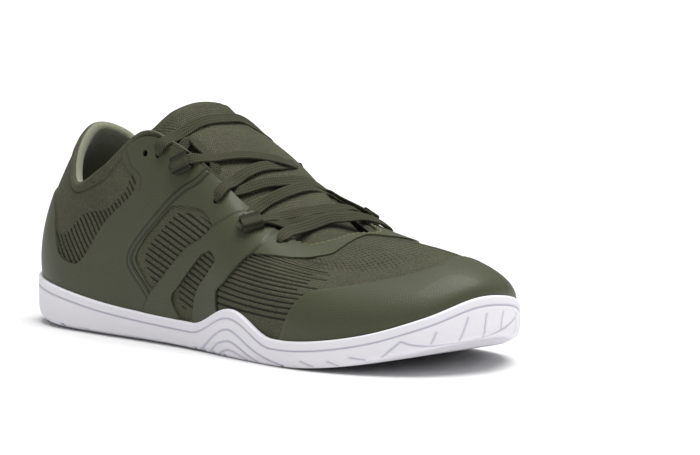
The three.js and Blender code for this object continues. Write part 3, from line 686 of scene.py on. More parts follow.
def ground_offset(x):
    """How far the ground outline lies outside the feather line."""
    toe = np.clip((x - 0.805 * LENGTH) / (0.195 * LENGTH), 0, 1)
    heel = np.clip((0.11 * LENGTH - x) / (0.11 * LENGTH), 0, None)
    return 1 - 10 * toe**2 - heel**2


def edge_lift(x):
    """Height of the rounded ground edge."""
    return 1.6 - 1.4 * smooth(x, 0.37 * LENGTH, 0.59 * LENGTH)


def side_of_sole(rows, share):
    """Points of the sole's side: share 0 at the ground edge, 1 under the rim's rounded top."""
    values = row_values(rows)
    x, y, rim = values[..., 0], values[..., 1], values[..., 2]
    out = outward_at(rows)
    low = underside(x) + edge_lift(x)
    high = rim + WAVE["height"] * wave_at(x, y) - 0.35 * RIM_WALL
    z = low + share * (high - low)
    ground = ground_offset(x)
    offset = SIDE_OUT - (SIDE_OUT - ground) * np.exp(-(z - low) / 1.45)
    return np.stack([x + out[..., 0] * offset, y + out[..., 1] * offset, z], -1)


def sole_rows():
    """Rows round the sole, the same on both sides, closest where the side has its lines."""
    spans = [(0, 2.8, 1 / 40), (2.8, 4.0, 1 / 24), (4.0, 6.4, 1 / 48), (6.4, 11.0, 1 / 16)]
    outer = spread(spans)
    return np.concatenate([outer, [HEEL_ROW], ROW_COUNT - outer[:0:-1]])


def side_lines(points, rows, groove):
    """Depth of the side's grooves at points of one side, and how strongly their hollows are painted with
    shade.
    """
    x, _, z = points.reshape(-1, 3).T
    across = rows.reshape(-1)
    flat = np.stack([x, z], -1)
    values = row_values(across)
    rim = values[:, 2] + WAVE["height"] * wave_at(values[:, 0], values[:, 1])
    band = np.abs(z - rim + RIM_BAND)
    near = np.where(across < HEEL_ROW, 0.0, FAR)
    waves = np.full(len(x), FAR)
    for line in SIDE_LINES:
        waves = np.minimum(waves, line_distance(flat, curve_through(line)) + near)
    runs = []
    for line in TOE_LINES:
        run = curve_through(line)
        runs.append(side_of_sole(run[:, 0], run[:, 1]))
        if len(line) < 4 and line[0][0] > 0.5:
            runs.append(side_of_sole(ROW_COUNT - run[:, 0], run[:, 1]))
    short = np.full(len(x), FAR)
    places = points.reshape(-1, 3)
    for run in runs:
        short = np.minimum(short, line_distance(places, run))
    notch = np.full(len(x), FAR)
    for row in TREAD_NOTCHES:
        for side in (row, ROW_COUNT - row):
            foot = side_of_sole(np.array([side]), np.array([0.0]))[0]
            notch = np.minimum(notch, np.linalg.norm((places - foot) * (1, 1, 0.5), axis=1))
    depth = groove * (
        0.9 * bell(band, 0.42)
        + bell(waves, 0.5)
        + 0.8 * bell(short, 0.45)
    ) + 1.1 * smooth(notch, 1.3, 0.7)
    # Painted shade in the side's grooves and, stronger, in the ground notches
    painted_shade = bell(np.minimum(np.minimum(band, waves), short), 0.42)
    painted_shade = np.maximum(painted_shade, 1.6 * smooth(notch, 1.2, 0.7))
    return depth.reshape(rows.shape), painted_shade.reshape(rows.shape)


def sole_body(groove):
    """Rings of the sole from its ground outline up the side, over the rim and into the cup."""
    rows = sole_rows()
    values = row_values(rows)
    x, y = values[:, 0], values[:, 1]
    out = np.column_stack([outward_at(rows), np.zeros(len(rows))])
    foot = np.column_stack([x, y, np.zeros(len(rows))])
    ground = ground_offset(x)
    rim = values[:, 2] + WAVE["height"] * wave_at(x, y)

    def ring(offset, height_of):
        points = foot + out * np.broadcast_to(offset, len(rows))[:, None]
        points[:, 2] = height_of(points[:, 0])
        return points

    rings = [ring(ground - EDGE_ROUND - 1, lambda px: underside(px) + TREAD_SLAB + 0.3)]
    for share in np.linspace(0, 1, 7)[:-1]:
        rise = edge_lift(x) * share**2
        rings.append(ring(ground - EDGE_ROUND * (1 - share), lambda px, r=rise: underside(px) + r))
    shares = np.linspace(0, 1, 46)
    grid_rows, grid_shares = np.meshgrid(rows, shares, indexing="ij")
    side = side_of_sole(grid_rows, grid_shares)
    depth, painted_shade = side_lines(side, grid_rows, groove)
    side = side - out[:, None, :] * depth[..., None]
    first = len(rings)
    rings += [side[:, k] for k in range(len(shares))]
    lip = 0.35 * RIM_WALL
    for turn in np.radians((22, 45, 68, 90)):
        offset = SIDE_OUT - lip * (1 - math.cos(turn))
        rings.append(ring(offset, lambda px, t=turn: rim - lip * (1 - math.sin(t))))
    rings.append(ring(CUP_GAP + 0.3, lambda px: rim))
    rings.append(ring(CUP_GAP, lambda px: rim - 0.3))
    rings.append(ring(CUP_GAP, foot_bed))
    points = np.stack(rings, 1)
    # The side's painted groove shade, kept on the mesh for the rubber's colour
    shade = np.zeros(points.shape[:2])
    shade[:, first:first + len(shares)] = painted_shade
    return points, shade


def across_faces(across, up, level, flip):
    """Strips from each station of a ring to the one on the other side."""
    ring = [k * up + level for k in range(across)]
    faces = [[ring[0], ring[1], ring[-1]]]
    for k in range(1, across // 2 - 1):
        faces.append([ring[k], ring[k + 1], ring[-k - 1], ring[-k]])
    middle = across // 2
    faces.append([ring[middle - 1], ring[middle], ring[middle + 1]])
    return [face[::-1] for face in faces] if flip else faces


def add_rings(name, points, *args, **kwargs):
    """A piece from closed rings, with the first and the last one closed across."""
    across, up = points.shape[:2]
    faces = grid_faces(across, up, close_across=True)
    faces += across_faces(across, up, 0, True)
    faces += across_faces(across, up, up - 1, False)
    return add_mesh(name, points.reshape(-1, 3), faces, *args, **kwargs)


def arc(centre, radius, start, end, steps=30):
    """Points of a flat arc, by degrees."""
    turn = np.radians(np.linspace(start, end, steps))
    return np.column_stack([centre[0] + radius * np.cos(turn), centre[1] + radius * np.sin(turn)])


def tread_lines():
    """Fine and broad grooves of the tread as flat runs of points."""
    fine = [arc(PIVOT, share * PIVOT_RADIUS, 0, 360, 60) for share in (1, 0.6, 0.33)]
    for along, across in LUGS:
        fine.append(np.array(LUG_SHAPE) * LUG / 2 + (along * LENGTH, across * BALL))
    for start in (0.36, 0.43, 0.50):
        x0, x1 = start * LENGTH, (start + 0.1) * LENGTH
        fine.append(np.array([(x0, -0.36 * BALL), (x1, -0.02 * BALL)]))
        fine.append(np.array([(x1, -0.36 * BALL), (x0, -0.02 * BALL)]))
    for along, across in ((0.945, -0.2), (0.955, -0.08), (0.96, 0.04), (0.955, 0.16)):
        x, y = along * LENGTH, across * BALL
        fine.append(np.array([(x - 0.4 * LUG, y - 0.3 * LUG), (x + 0.4 * LUG, y)]))
    for radius in (0.22, 0.34, 0.46, 0.58):
        fine.append(arc((0.27 * LENGTH, 0), radius * BALL, 128, 232))
    broad = [arc(PIVOT, ring * PIVOT_RADIUS, 150, 265) for ring in (1.5, 1.95)]
    broad += [arc(PIVOT, ring * PIVOT_RADIUS, 200, 262) for ring in (2.45, 2.95)]
    return fine, broad


def tread(groove):
    """The sole's underside as a thin slab: a grid from side to side with its grooves, and a lid."""
    rows = sole_rows()
    half = len(rows) // 2
    values = row_values(rows)
    out = outward_at(rows)
    reach = ground_offset(values[:, 0]) - EDGE_ROUND
    edge = values[:, :2] + out * reach[:, None]
    outer = edge[1:half]
    inner = edge[:half:-1]
    shares = np.linspace(0, 1, 200)
    flat = outer[:, None] + (inner - outer)[:, None] * shares[None, :, None]
    places = flat.reshape(-1, 2)
    fine, broad = tread_lines()
    near = np.full(len(places), FAR)
    wide = near.copy()
    for line in fine:
        near = np.minimum(near, line_distance(places, line))
    for line in broad:
        wide = np.minimum(wide, line_distance(places, line))
    arch = ((places[:, 0] - 0.46 * LENGTH) / (0.15 * LENGTH)) ** 2
    arch = arch + ((places[:, 1] - 0.42 * BALL) / (0.4 * BALL)) ** 2
    recess = ARCH_RECESS * smooth(arch, 1.05, 0.95)
    free = smooth(arch, 0.95, 1.05)
    depth = recess + groove * free * np.maximum(smooth(near, 0.75, 0.4), 0.7 * smooth(wide, 2, 0.6))
    # Painted shade in the tread's grooves, left out in the arch's recess
    painted_shade = free * np.maximum(smooth(near, 0.7, 0.3), 0.35 * smooth(wide, 1.8, 0.6))
    low = np.column_stack([places, underside(places[:, 0]) + depth])
    across, up = half - 1, len(shares)
    faces = grid_faces(across, up)
    base = len(low)
    rim = np.concatenate([outer, inner[::-1]])
    lid = np.column_stack([rim, underside(rim[:, 0]) + TREAD_SLAB])
    below = [k * up for k in range(across)] + [k * up + up - 1 for k in range(across)][::-1]
    count = len(rim)
    for k in range(count):
        after = (k + 1) % count
        if k == across - 1:
            run = [(across - 1) * up + j for j in range(up)]
        elif k == count - 1:
            run = [j for j in range(up)][::-1]
        else:
            run = [below[k], below[after]]
        faces.append([base + k] + run + [base + after])
    for k in range(across - 1):
        faces.append([base + k, base + k + 1, base + count - 2 - k, base + count - 1 - k])
    shade = np.concatenate([painted_shade, np.zeros(count)])
    return np.vstack([low, lid]), faces, shade


# Upper

def wall_at(rows, climbs):
    """Thickness of the upper, which is padded round the heel's collar."""
    around = smooth(folded(rows), 7, 8.5)
    return WALL + (COLLAR_PAD - WALL) * around * smooth(climbs, 0.45, 0.9)


def upper_grid():
    """The upper as one loop of levels: outer face, rolled edge, lining and lower margin."""
    spans = [(0, 2, 1 / 14), (2, 5, 1 / 34), (5, 8.8, 1 / 53), (8.8, 11, 1 / 14), (11, 22, 1 / 10)]
    rows = spread(spans)
    climbs = np.linspace(0, 1, 133)
    grid = np.meshgrid(rows, climbs, indexing="ij")
    base = skin(*grid)
    out = skin_normal(*grid)
    flat_rows, flat_climbs = grid[0].ravel(), grid[1].ravel()
    lines, inside = knit_lines(flat_rows, flat_climbs, base.reshape(-1, 3))
    relief = knit_relief(flat_rows, flat_climbs, lines, inside).reshape(grid[0].shape)
    outer = base + out * relief[..., None]

    top = skin(rows, 1)
    up = unit(top - skin(rows, 0.97))
    normal = skin_normal(rows, np.ones(len(rows)))
    half = wall_at(rows, 1)[:, None] / 2
    start = top + normal * relief[:, -1:]
    roll = []
    for turn in np.radians(np.arange(1, 8) * 22.5):
        inward = half * (1 - math.cos(turn)) + relief[:, -1:] * turn / math.pi
        roll.append(start - normal * inward + up * half * 0.9 * math.sin(turn))

    lower = np.linspace(1, 0, 24)
    inner_grid = np.meshgrid(rows, lower, indexing="ij")
    wall = wall_at(*inner_grid)[..., None]
    lining = skin(*inner_grid) - skin_normal(*inner_grid) * wall
    out_flat = np.column_stack([outward_at(rows), np.zeros(len(rows))])
    margins = []
    for offset in (0, -WALL):
        margin = base[:, 0] + out_flat * offset
        margin[:, 2] = foot_bed(margin[:, 0]) + CUP_GAP
        margins.append(margin)
    columns = [margins[0]] + [outer[:, k] for k in range(len(climbs))] + roll
    columns += [lining[:, k] for k in range(len(lower))] + [margins[1]]
    points = np.stack(columns, 1)
    levels = np.concatenate([[-0.05], climbs, 1 + 0.01 * np.arange(1, 8), 2.1 - lower, [2.2]])
    return rows, levels, points, lines.reshape(grid[0].shape), inside.reshape(grid[0].shape)


def near_eyelets(points, reach):
    """Marks points of the skin that lie in one of the eyelets."""
    marked = np.zeros(points.shape[:-1], bool)
    for row, climb in EYELETS:
        for side in (row, ROW_COUNT - row):
            marked |= np.linalg.norm(points - skin(side, climb), axis=-1) < reach
    return marked


# Rings of a sleeve inside an eyelet: radius, and height over the skin
SLEEVE_RINGS = ((2.6, -0.35), (1.75, -0.25), (1.7, 0.35), (1.45, -0.5), (1.4, -1.5))


def eyelet_cups():
    """Blind sleeves inside the eyelets, painted near black as the shade inside the holes."""
    points, faces = [], []
    turns = np.radians(np.arange(0, 360, 20))
    for row, climb in EYELETS:
        for side in (row, ROW_COUNT - row):
            centre, out = skin(side, climb), skin_normal(side, climb)
            along = unit(np.cross(out, (0.0, 0.0, 1.0)))
            up = np.cross(along, out)
            base = len(points)
            for radius, height in SLEEVE_RINGS:
                for turn in turns:
                    rim = along * math.cos(turn) + up * math.sin(turn)
                    points.append(centre + rim * radius + out * height)
            count = len(turns)
            last = len(SLEEVE_RINGS) - 1
            for ring in range(last):
                for k in range(count):
                    after = (k + 1) % count
                    a, b = base + ring * count, base + (ring + 1) * count
                    faces.append([a + k, a + after, b + after, b + k])
            faces.append([base + last * count + k for k in range(count)][::-1])
    return np.array(points), faces


# Tongue

# along, height, half, drop: shares of LENGTH, INSTEP, BALL and INSTEP
TONGUE = (
    (0.742, 0.437, 0.180, 0.033), (0.700, 0.480, 0.210, 0.049), (0.670, 0.516, 0.230, 0.060),
    (0.637, 0.572, 0.240, 0.071), (0.577, 0.688, 0.262, 0.082), (0.517, 0.812, 0.280, 0.090),
    (0.468, 0.902, 0.287, 0.098), (0.423, 0.972, 0.287, 0.104), (0.378, 1.043, 0.280, 0.109),
    (0.337, 1.128, 0.245, 0.100),
)
TONGUE_ROWS = np.array(TONGUE) * (LENGTH, INSTEP, BALL, INSTEP)
TONGUE_THICKNESS = 4.0
INNER_DROP = 0.4
COLLAR_SAG = 6.0
CROWN = 1.8


def tongue_values(rows):
    """The tongue's four values at whole or broken rows, on a smooth curve."""
    table = np.vstack([2 * TONGUE_ROWS[0] - TONGUE_ROWS[1], TONGUE_ROWS,
                       2 * TONGUE_ROWS[-1] - TONGUE_ROWS[-2]])
    rows = np.asarray(rows, float)
    start = np.clip(np.floor(rows).astype(int), 0, len(TONGUE_ROWS) - 2)
    f = (rows - start)[..., None]
    return spline(*(table[start + k] for k in (0, 1, 2, 3)), f)


def tongue_points(rows, shares):
    """Points of the tongue's outer face and the direction out of it."""
    rows, shares = np.broadcast_arrays(np.asarray(rows, float), np.asarray(shares, float))
    x, z, half, drop = np.moveaxis(tongue_values(rows), -1, 0)
    ahead = tongue_values(np.clip(rows - 0.5, 0, 9))
    behind = tongue_values(np.clip(rows + 0.5, 0, 9))
    up = np.stack([behind[..., 1] - ahead[..., 1], 0 * x, ahead[..., 0] - behind[..., 0]], -1)
    up = unit(up)
    drop = drop * np.where(shares > 0, INNER_DROP, 1.0)
    side = np.abs(shares)
    sink = drop * shares**2 + COLLAR_SAG * smooth(rows, 7.2, 8.8) * smooth(side, 0.62, 1.05)
    sink = sink - CROWN * smooth(rows, 7.4, 9.0) * (1 - shares**2)
    points = np.stack([x, half * shares, z], -1) - up * sink[..., None]
    return points, up


def tongue_grid():
    """The tongue as a padded strip, with a rounded nose at its top."""
    across = np.linspace(-1, 1, 57)
    rows = np.linspace(0, 9, 190)
    points, up = tongue_points(rows[:, None], across[None, :])
    thick = TONGUE_THICKNESS * (1 - 0.6 * across**4)[None, :, None]
    edge = smooth(1 - np.abs(across), 0, 0.1)[None, :, None]
    top = smooth(rows, 9, 8.75)[:, None, None]
    puff = 0.5 * smooth(rows, 6.2, 7.4)[:, None, None] * smooth(np.abs(across), 0.95, 0.6)[None, :, None]
    outer = points - up * (0.7 * (1 - edge) + 0.9 * (1 - top)) + up * puff * top
    inner = points - up * (thick - 0.5 * (1 - edge) - 0.9 * (1 - top))
    loop = np.concatenate([outer, inner[:, ::-1]], 1)
    spread_along = np.concatenate([across, across[::-1]]) * 24
    flat = np.stack(np.meshgrid(rows * 13, spread_along, indexing="ij"), -1)
    return loop, flat[..., ::-1]


def insole_grid():
    """The insole: rings from its edge, turned up round the heel, in to its middle line."""
    rows = np.linspace(0, ROW_COUNT, 220, endpoint=False)
    values = row_values(rows)
    out = np.column_stack([outward_at(rows), np.zeros(len(rows))])
    foot = np.column_stack([values[:, :2], np.zeros(len(rows))])
    cup = 3.0 * smooth(values[:, 0], 0.45 * LENGTH, 0.2 * LENGTH)
    inset = -(WALL + CUP_GAP)
    rings = []
    for offset, rise in ((0, 0), (0, 2.6), (-0.3, 2.95), (-0.9, 3.0)):
        ring = foot + out * (inset + offset)
        ring[:, 2] = foot_bed(ring[:, 0]) + CUP_GAP + rise + cup * (rise > 0)
        rings.append(ring)
    for offset in (-2.4, -4.2, -6.5, -9, -12):
        ring = foot + out * (inset + offset)
        share = smooth(-offset, 1.5, 12)
        ring[:, 2] = foot_bed(ring[:, 0]) + CUP_GAP + 3.0 + cup * (1 - share)
        rings.append(ring)
    return np.stack(rings, 1)


# Laces: stops on the skin by row and climb or on the tongue by row and share. The last
# number is how far the strand stands off there, in its own solid's thickness.
LACE_SOLID = 1.6


def on_skin(row, climb, lift):
    """A stop on the upper."""
    return ("skin", row, climb, lift)


def on_tongue(row, share, lift):
    """A stop on the tongue."""
    return ("tongue", row, share, lift)


def inner(row):
    """The inner side's row opposite one of the outer side."""
    return ROW_COUNT - row


def opposite(place):
    """The inner side's place opposite one of the outer side."""
    return inner(place[0]), place[1]


FRONT_EYELET, MIDDLE_EYELET, TOP_EYELET = EYELETS[:3]
FRONT_LOOP = (4.12, 0.725)
REAR_LOOP = (5.80, 0.88)
FRONT_INNER = opposite(FRONT_LOOP)
REAR_INNER = opposite((5.80, 0.83))
LOOPS = {
    "rear_outer": REAR_LOOP, "rear_inner": REAR_INNER,
    "front_outer": FRONT_LOOP, "front_inner": FRONT_INNER,
}
LOOP_SLOT = (6.1, 2.2)
LOOP_SEAT = 3.0
LOOP_REACH = 5.5
ROUTES = {
    "bottom": (
        ("eyelet", *FRONT_EYELET), on_skin(3.38, 0.755, 0.5), on_skin(3.12, 0.85, 0.6),
        on_tongue(3.18, -0.46, 1.0), on_tongue(3.3, 0.2, 1.0), on_tongue(3.25, 0.5, 1.6),
        on_skin(inner(3.0), 1.0, 0.3), on_skin(inner(3.1), 0.90, 0.4),
        ("eyelet", *opposite(FRONT_EYELET)),
    ),
    "loop_forward": (
        ("loop", *FRONT_LOOP, 1), on_tongue(3.73, -0.67, 0.7), on_tongue(3.64, -0.15, 0.6),
        on_tongue(3.72, 0.55, 0.3), on_skin(inner(3.65), 1.0, -0.3), on_skin(inner(3.8), 0.88, 0.4),
        ("loop", *FRONT_INNER, -1),
    ),
    "loop_low": (
        ("loop", *FRONT_LOOP, 1), on_tongue(3.46, -0.7, 0.6), on_tongue(3.40, -0.28, 0.5),
        on_tongue(3.55, 0.5, 0.1), on_skin(inner(3.5), 1.0, -0.6), on_skin(inner(3.7), 0.88, 0.0),
        ("eyelet", *opposite(FRONT_EYELET)),
    ),
    "loop_back": (
        ("loop", *FRONT_LOOP, -1), on_tongue(4.2, -0.8, 0.7), on_tongue(4.27, -0.5, 0.6),
        on_tongue(4.36, -0.05, 0.5), on_tongue(4.5, 0.55, 0.0), on_skin(inner(4.4), 1.0, -0.6),
        on_skin(inner(4.3), 0.86, 0.2), ("loop", *FRONT_INNER, 1),
    ),
    "middle_forward": (
        on_tongue(4.95, -1.0, -0.4), on_tongue(4.79, -0.79, 0.5), on_tongue(4.74, -0.45, 0.7),
        on_tongue(4.64, -0.03, 0.8), on_tongue(4.68, 0.55, 0.3), on_skin(inner(4.5), 0.99, 0.2),
        on_skin(inner(4.3), 0.90, 0.9), ("loop", *FRONT_INNER, 1),
    ),
    "middle_back": (
        ("eyelet", *MIDDLE_EYELET), on_skin(4.93, 0.80, 0.7), on_skin(4.72, 0.90, 0.7),
        on_tongue(5.1, -0.83, 1.1), on_tongue(5.23, -0.57, 0.7), on_tongue(5.3, -0.17, 0.5),
        on_tongue(5.32, 0.28, 0.0), on_tongue(5.55, 0.75, -0.6), on_skin(inner(5.5), 0.98, -0.5),
        ("loop", *REAR_INNER, 1),
    ),
    "loop_turn": (
        ("loop", *REAR_LOOP, -1), on_tongue(7.5, -0.77, 1.5), on_tongue(7.0, -0.78, 1.4),
        on_tongue(6.5, -0.76, 0.9), on_tongue(6.0, -0.78, 0.2), on_tongue(5.7, -0.9, -1.0),
    ),
    "loop_top": (
        ("loop", *REAR_LOOP, 1), on_tongue(6.3, -0.76, 0.8), on_tongue(5.97, -0.38, 0.8),
        on_tongue(5.69, 0.0, 0.8), on_tongue(5.38, 0.42, 0.8), on_skin(inner(5.2), 1.0, 0.0),
        on_skin(inner(5.2), 0.9, 0.3), ("eyelet", *opposite(MIDDLE_EYELET)),
    ),
    "top": (
        ("eyelet", *TOP_EYELET), on_skin(6.44, 0.90, 0.8), on_skin(6.22, 0.97, 1.1),
        on_tongue(7.93, -0.80, 1.0), on_tongue(8.02, -0.38, 0.5), on_tongue(7.98, 0.2, 0.4),
        on_tongue(8.0, 0.64, 0.1), on_skin(inner(6.3), 1.0, 0.5), on_skin(inner(6.35), 0.93, 0.4),
        ("eyelet", *opposite(TOP_EYELET)),
    ),
}
# How far each strand's face leans towards the toe, in degrees
LEANS = {"bottom": 14, "loop_forward": 4, "top": 10, "loop_top": 2, "loop_turn": 0}
LEAN = 8


def loop_axes(row, climb):
    """Middle of a webbing loop's slot, its directions out and along the throat."""
    out = skin_normal(row, climb)
    climbing = skin(row, climb + 0.1) - skin(row, climb - 0.1)
    along = unit(np.cross(climbing, out))
    return skin(row, climb) + out * LOOP_SEAT, out, along


def lace_stops(route):
    """Places of a strand's stops, the direction out at each, and how far each is squeezed."""
    places, outs, squeeze = [], [], []

    def stop(place, out, tight=0.0):
        places.append(place)
        outs.append(out)
        squeeze.append(tight)

    for kind, row, second, *more in route:
        first = not places
        if kind == "tongue":
            point, up = tongue_points(row, second)
            stop(point + up * (1.0 + more[0] * LACE_SOLID), up)
        elif kind == "skin":
            out = skin_normal(row, second)
            stop(skin(row, second) + out * (1.95 + more[0] * LACE_SOLID), out)
        elif kind == "loop":
            middle, out, along = loop_axes(row, second)
            ahead = 1 if along[0] > 0 else -1
            run = [middle + along * ahead * more[0] * reach for reach in (-2.0, LOOP_REACH)]
            for place in run if first else run[::-1]:
                stop(place, out, 0.1)
        else:
            point, out = skin(row, second), skin_normal(row, second)
            for depth in (-4.0, 1.4) if first else (1.4, -4.0):
                stop(point + out * depth, out, 1.0)
    return np.array(places), np.array(outs), np.array(squeeze)


def even_run(places, step):
    """Places at even steps along a broken line, with the broken index of each."""
    run = np.concatenate([[0], np.cumsum(np.linalg.norm(np.diff(places, axis=0), axis=1))])
    at = np.linspace(0, run[-1], max(int(run[-1] / step), 8))
    index = np.interp(at, run, np.arange(len(places)))
    return np.column_stack([np.interp(at, run, places[:, k]) for k in range(3)]), index, at


def eased(values, passes):
    """Values with their bends eased. The two ends stay."""
    for _ in range(passes):
        values[1:-1] += (values[:-2] + values[2:] - 2 * values[1:-1]) * 0.25
    return values


LACE_STEP = 0.7


def lace_line(route):
    """A strand's middle line with its outward direction, squeeze and length so far."""
    stops, outs, squeeze = lace_stops(route)
    steps = 14
    line, index, run = even_run(curve_through(stops, steps), LACE_STEP)
    knots = np.arange(len(stops)) * steps
    out = np.column_stack([np.interp(index, knots, outs[:, k]) for k in range(3)])
    tight = np.interp(index, knots, squeeze)
    return eased(line, 24), eased(out, 24), tight, run


def lace_grid(name, width, thickness):
    """A strand as a tube of rounded flat sections, and its weave's flat millimetres."""
    line, out, tight, run = lace_line(ROUTES[name])
    along = unit(np.gradient(line, axis=0))
    side = unit(np.cross(along, out))
    up = np.cross(side, along)
    toeward = np.sign(side[:, 0].mean())
    lean = np.radians(LEANS.get(name, LEAN)) * toeward * smooth(run, 4, 12)
    lean = (lean * smooth(run[-1] - run, 4, 12))[:, None]
    side, up = side * np.cos(lean) - up * np.sin(lean), up * np.cos(lean) + side * np.sin(lean)
    turns = np.linspace(0, 2 * math.pi, 20, endpoint=False)
    wide = np.sign(np.cos(turns)) * np.abs(np.cos(turns)) ** 0.55
    tall = np.sign(np.sin(turns)) * np.abs(np.sin(turns)) ** 0.7
    half = (width / 2 * (1 - 0.55 * tight))[:, None]
    deep = (thickness / 2 * (1 + 0.6 * tight))[:, None]
    cup = 0.12 * thickness * (wide**2)[None, :]
    points = (
        line[:, None]
        + side[:, None] * (half * wide)[..., None]
        + up[:, None] * (deep * tall + cup)[..., None]
    )
    flat = np.stack([np.broadcast_to(wide * width / 2, half.shape[:1] + (len(turns),)),
                     np.broadcast_to(run[:, None], half.shape[:1] + (len(turns),))], -1)
    return points, flat


def loop_grid(row, climb, slot_width, slot_height, cloth, length):
    """A ring of webbing round its slot, with its two edges eased."""
    centre, up, along = loop_axes(row, climb)
    side = np.cross(up, along)

    def outline(reach):
        """A rounded rectangle, reach outside the slot."""
        half = np.array([slot_width / 2 + reach, slot_height / 2 + reach])
        bend = min(0.35 + 0.6 * reach, half.min())
        points = []
        for quarter, (a, b) in enumerate(((1, 1), (-1, 1), (-1, -1), (1, -1))):
            corner = (half - bend) * (a, b)
            for turn in np.radians(np.linspace(90 * quarter, 90 * quarter + 90, 7)):
                points.append(corner + bend * np.array([math.cos(turn), math.sin(turn)]))
        return np.array(points)

    rings = []
    for reach, place in (
        (cloth, -0.46), (cloth, -0.3), (cloth, -0.1), (cloth, 0.1), (cloth, 0.3), (cloth, 0.46),
        (cloth * 0.8, 0.5), (cloth * 0.2, 0.5), (0, 0.46), (0, 0), (0, -0.46),
        (cloth * 0.2, -0.5), (cloth * 0.8, -0.5),
    ):
        flat = outline(reach)
        rings.append(centre + side * flat[:, :1] + up * flat[:, 1:] + along * place * length)
    points = np.stack(rings, 1)
    count = len(points)
    run = np.linspace(0, 22, count)
    levels = np.linspace(0, length, len(rings))
    return points, np.stack(np.meshgrid(run, levels, indexing="ij"), -1)[..., ::-1]


# The stitches' run round the throat's front by row, their level, pitch and half width
STITCH_ROWS = (-3.4, 2.75)
STITCH_CLIMB = 0.952
STITCH_PITCH = 2.7
STITCH_HALF = 0.42
STITCH_OUTLINE = ((1, 0), (0.5, 0.2), (-0.5, 0.2), (-1, 0), (-0.5, -0.25), (0.5, -0.25))


def throat_stitches():
    """Short stitches along the film's edge, round the front of the throat."""
    path = np.linspace(*STITCH_ROWS, 700)
    line = skin(path % ROW_COUNT, np.full(len(path), STITCH_CLIMB))
    run = np.concatenate([[0], np.cumsum(np.linalg.norm(np.diff(line, axis=0), axis=1))])
    points, faces = [], []
    for start in np.arange(1, run[-1] - 3, STITCH_PITCH):
        rows = np.interp([start, start + 1.0, start + 2.1], run, path)
        centre = skin(rows % ROW_COUNT, np.full(3, STITCH_CLIMB))
        out = skin_normal(rows % ROW_COUNT, np.full(3, STITCH_CLIMB))
        along = centre[2] - centre[0]
        side = unit(np.cross(along, out[1])) * STITCH_HALF
        base = len(points)
        for k, (lift, wide) in enumerate(((0.6, 0.6), (1.02, 1.0), (0.6, 0.6))):
            up = out[k]
            middle = centre[k] + up * lift
            for a, b in STITCH_OUTLINE:
                points.append(middle + side * a * wide + up * b)
        for ring in (0, 6):
            for k in range(6):
                after = (k + 1) % 6
                faces.append([base + ring + k, base + ring + 6 + k,
                              base + ring + 6 + after, base + ring + after])
        faces.append([base + k for k in range(6)])
        faces.append([base + 12 + k for k in range(6)][::-1])
    return np.array(points), faces


# Materials

def new_node(tree, kind, **settings):
    """A node with its settings."""
    node = tree.nodes.new(kind)
    for key, value in settings.items():
        setattr(node, key, value)
    return node


def feed(tree, socket, source):
    """Gives a socket a number or a colour, or links another socket to it."""
    if isinstance(source, bpy.types.NodeSocket):
        tree.links.new(source, socket)
    else:
        socket.default_value = source


def maths(tree, operation, *sources, clamp=False):
    """Output of a maths node."""
    node = new_node(tree, "ShaderNodeMath", operation=operation, use_clamp=clamp)
    for socket, source in zip(node.inputs, sources):
        feed(tree, socket, source)
    return node.outputs[0]


def ramp(tree, value, low, high, start=0.0, end=1.0):
    """An even turn from start at low to end at high."""
    node = new_node(tree, "ShaderNodeMapRange", interpolation_type="SMOOTHSTEP")
    for socket, source in zip(node.inputs, (value, low, high, start, end)):
        feed(tree, socket, source)
    return node.outputs[0]


def mixed(tree, share, first, second):
    """One colour mixed into another."""
    node = new_node(tree, "ShaderNodeMix", data_type="RGBA")
    for socket, source in zip((node.inputs[0], node.inputs[6], node.inputs[7]),
                              (share, first, second)):
        feed(tree, socket, source)
    return node.outputs[2]


def attribute(tree, name):
    """Numbers kept on the mesh."""
    return new_node(tree, "ShaderNodeAttribute", attribute_name=name).outputs["Fac"]


def sheet_place(tree):
    """Across and along of the cloth's own flat millimetres."""
    source = new_node(tree, "ShaderNodeUVMap", uv_map="weave")
    split = new_node(tree, "ShaderNodeSeparateXYZ")
    tree.links.new(source.outputs[0], split.inputs[0])
    return split.outputs[0], split.outputs[1]


def new_group(name, inputs, outputs):
    """An empty shader group with named sockets, and its two end nodes."""
    group = bpy.data.node_groups.new(name, "ShaderNodeTree")
    for key, value in inputs.items():
        kind = "NodeSocketColor" if isinstance(value, tuple) else "NodeSocketFloat"
        socket = group.interface.new_socket(key, in_out="INPUT", socket_type=kind)
        socket.default_value = value
    for key, kind in outputs.items():
        group.interface.new_socket(key, in_out="OUTPUT", socket_type=kind)
    start = group.nodes.new("NodeGroupInput")
    end = group.nodes.new("NodeGroupOutput")
    return group, start, end


def noise_at(tree, size, detail=2.0):
    """Noise in the object's own space, its blotches about size metres wide."""
    place = new_node(tree, "ShaderNodeTexCoord")
    node = new_node(tree, "ShaderNodeTexNoise")
    tree.links.new(place.outputs["Object"], node.inputs["Vector"])
    feed(tree, node.inputs["Scale"], size)
    node.inputs["Detail"].default_value = detail
    return node.outputs["Fac"]


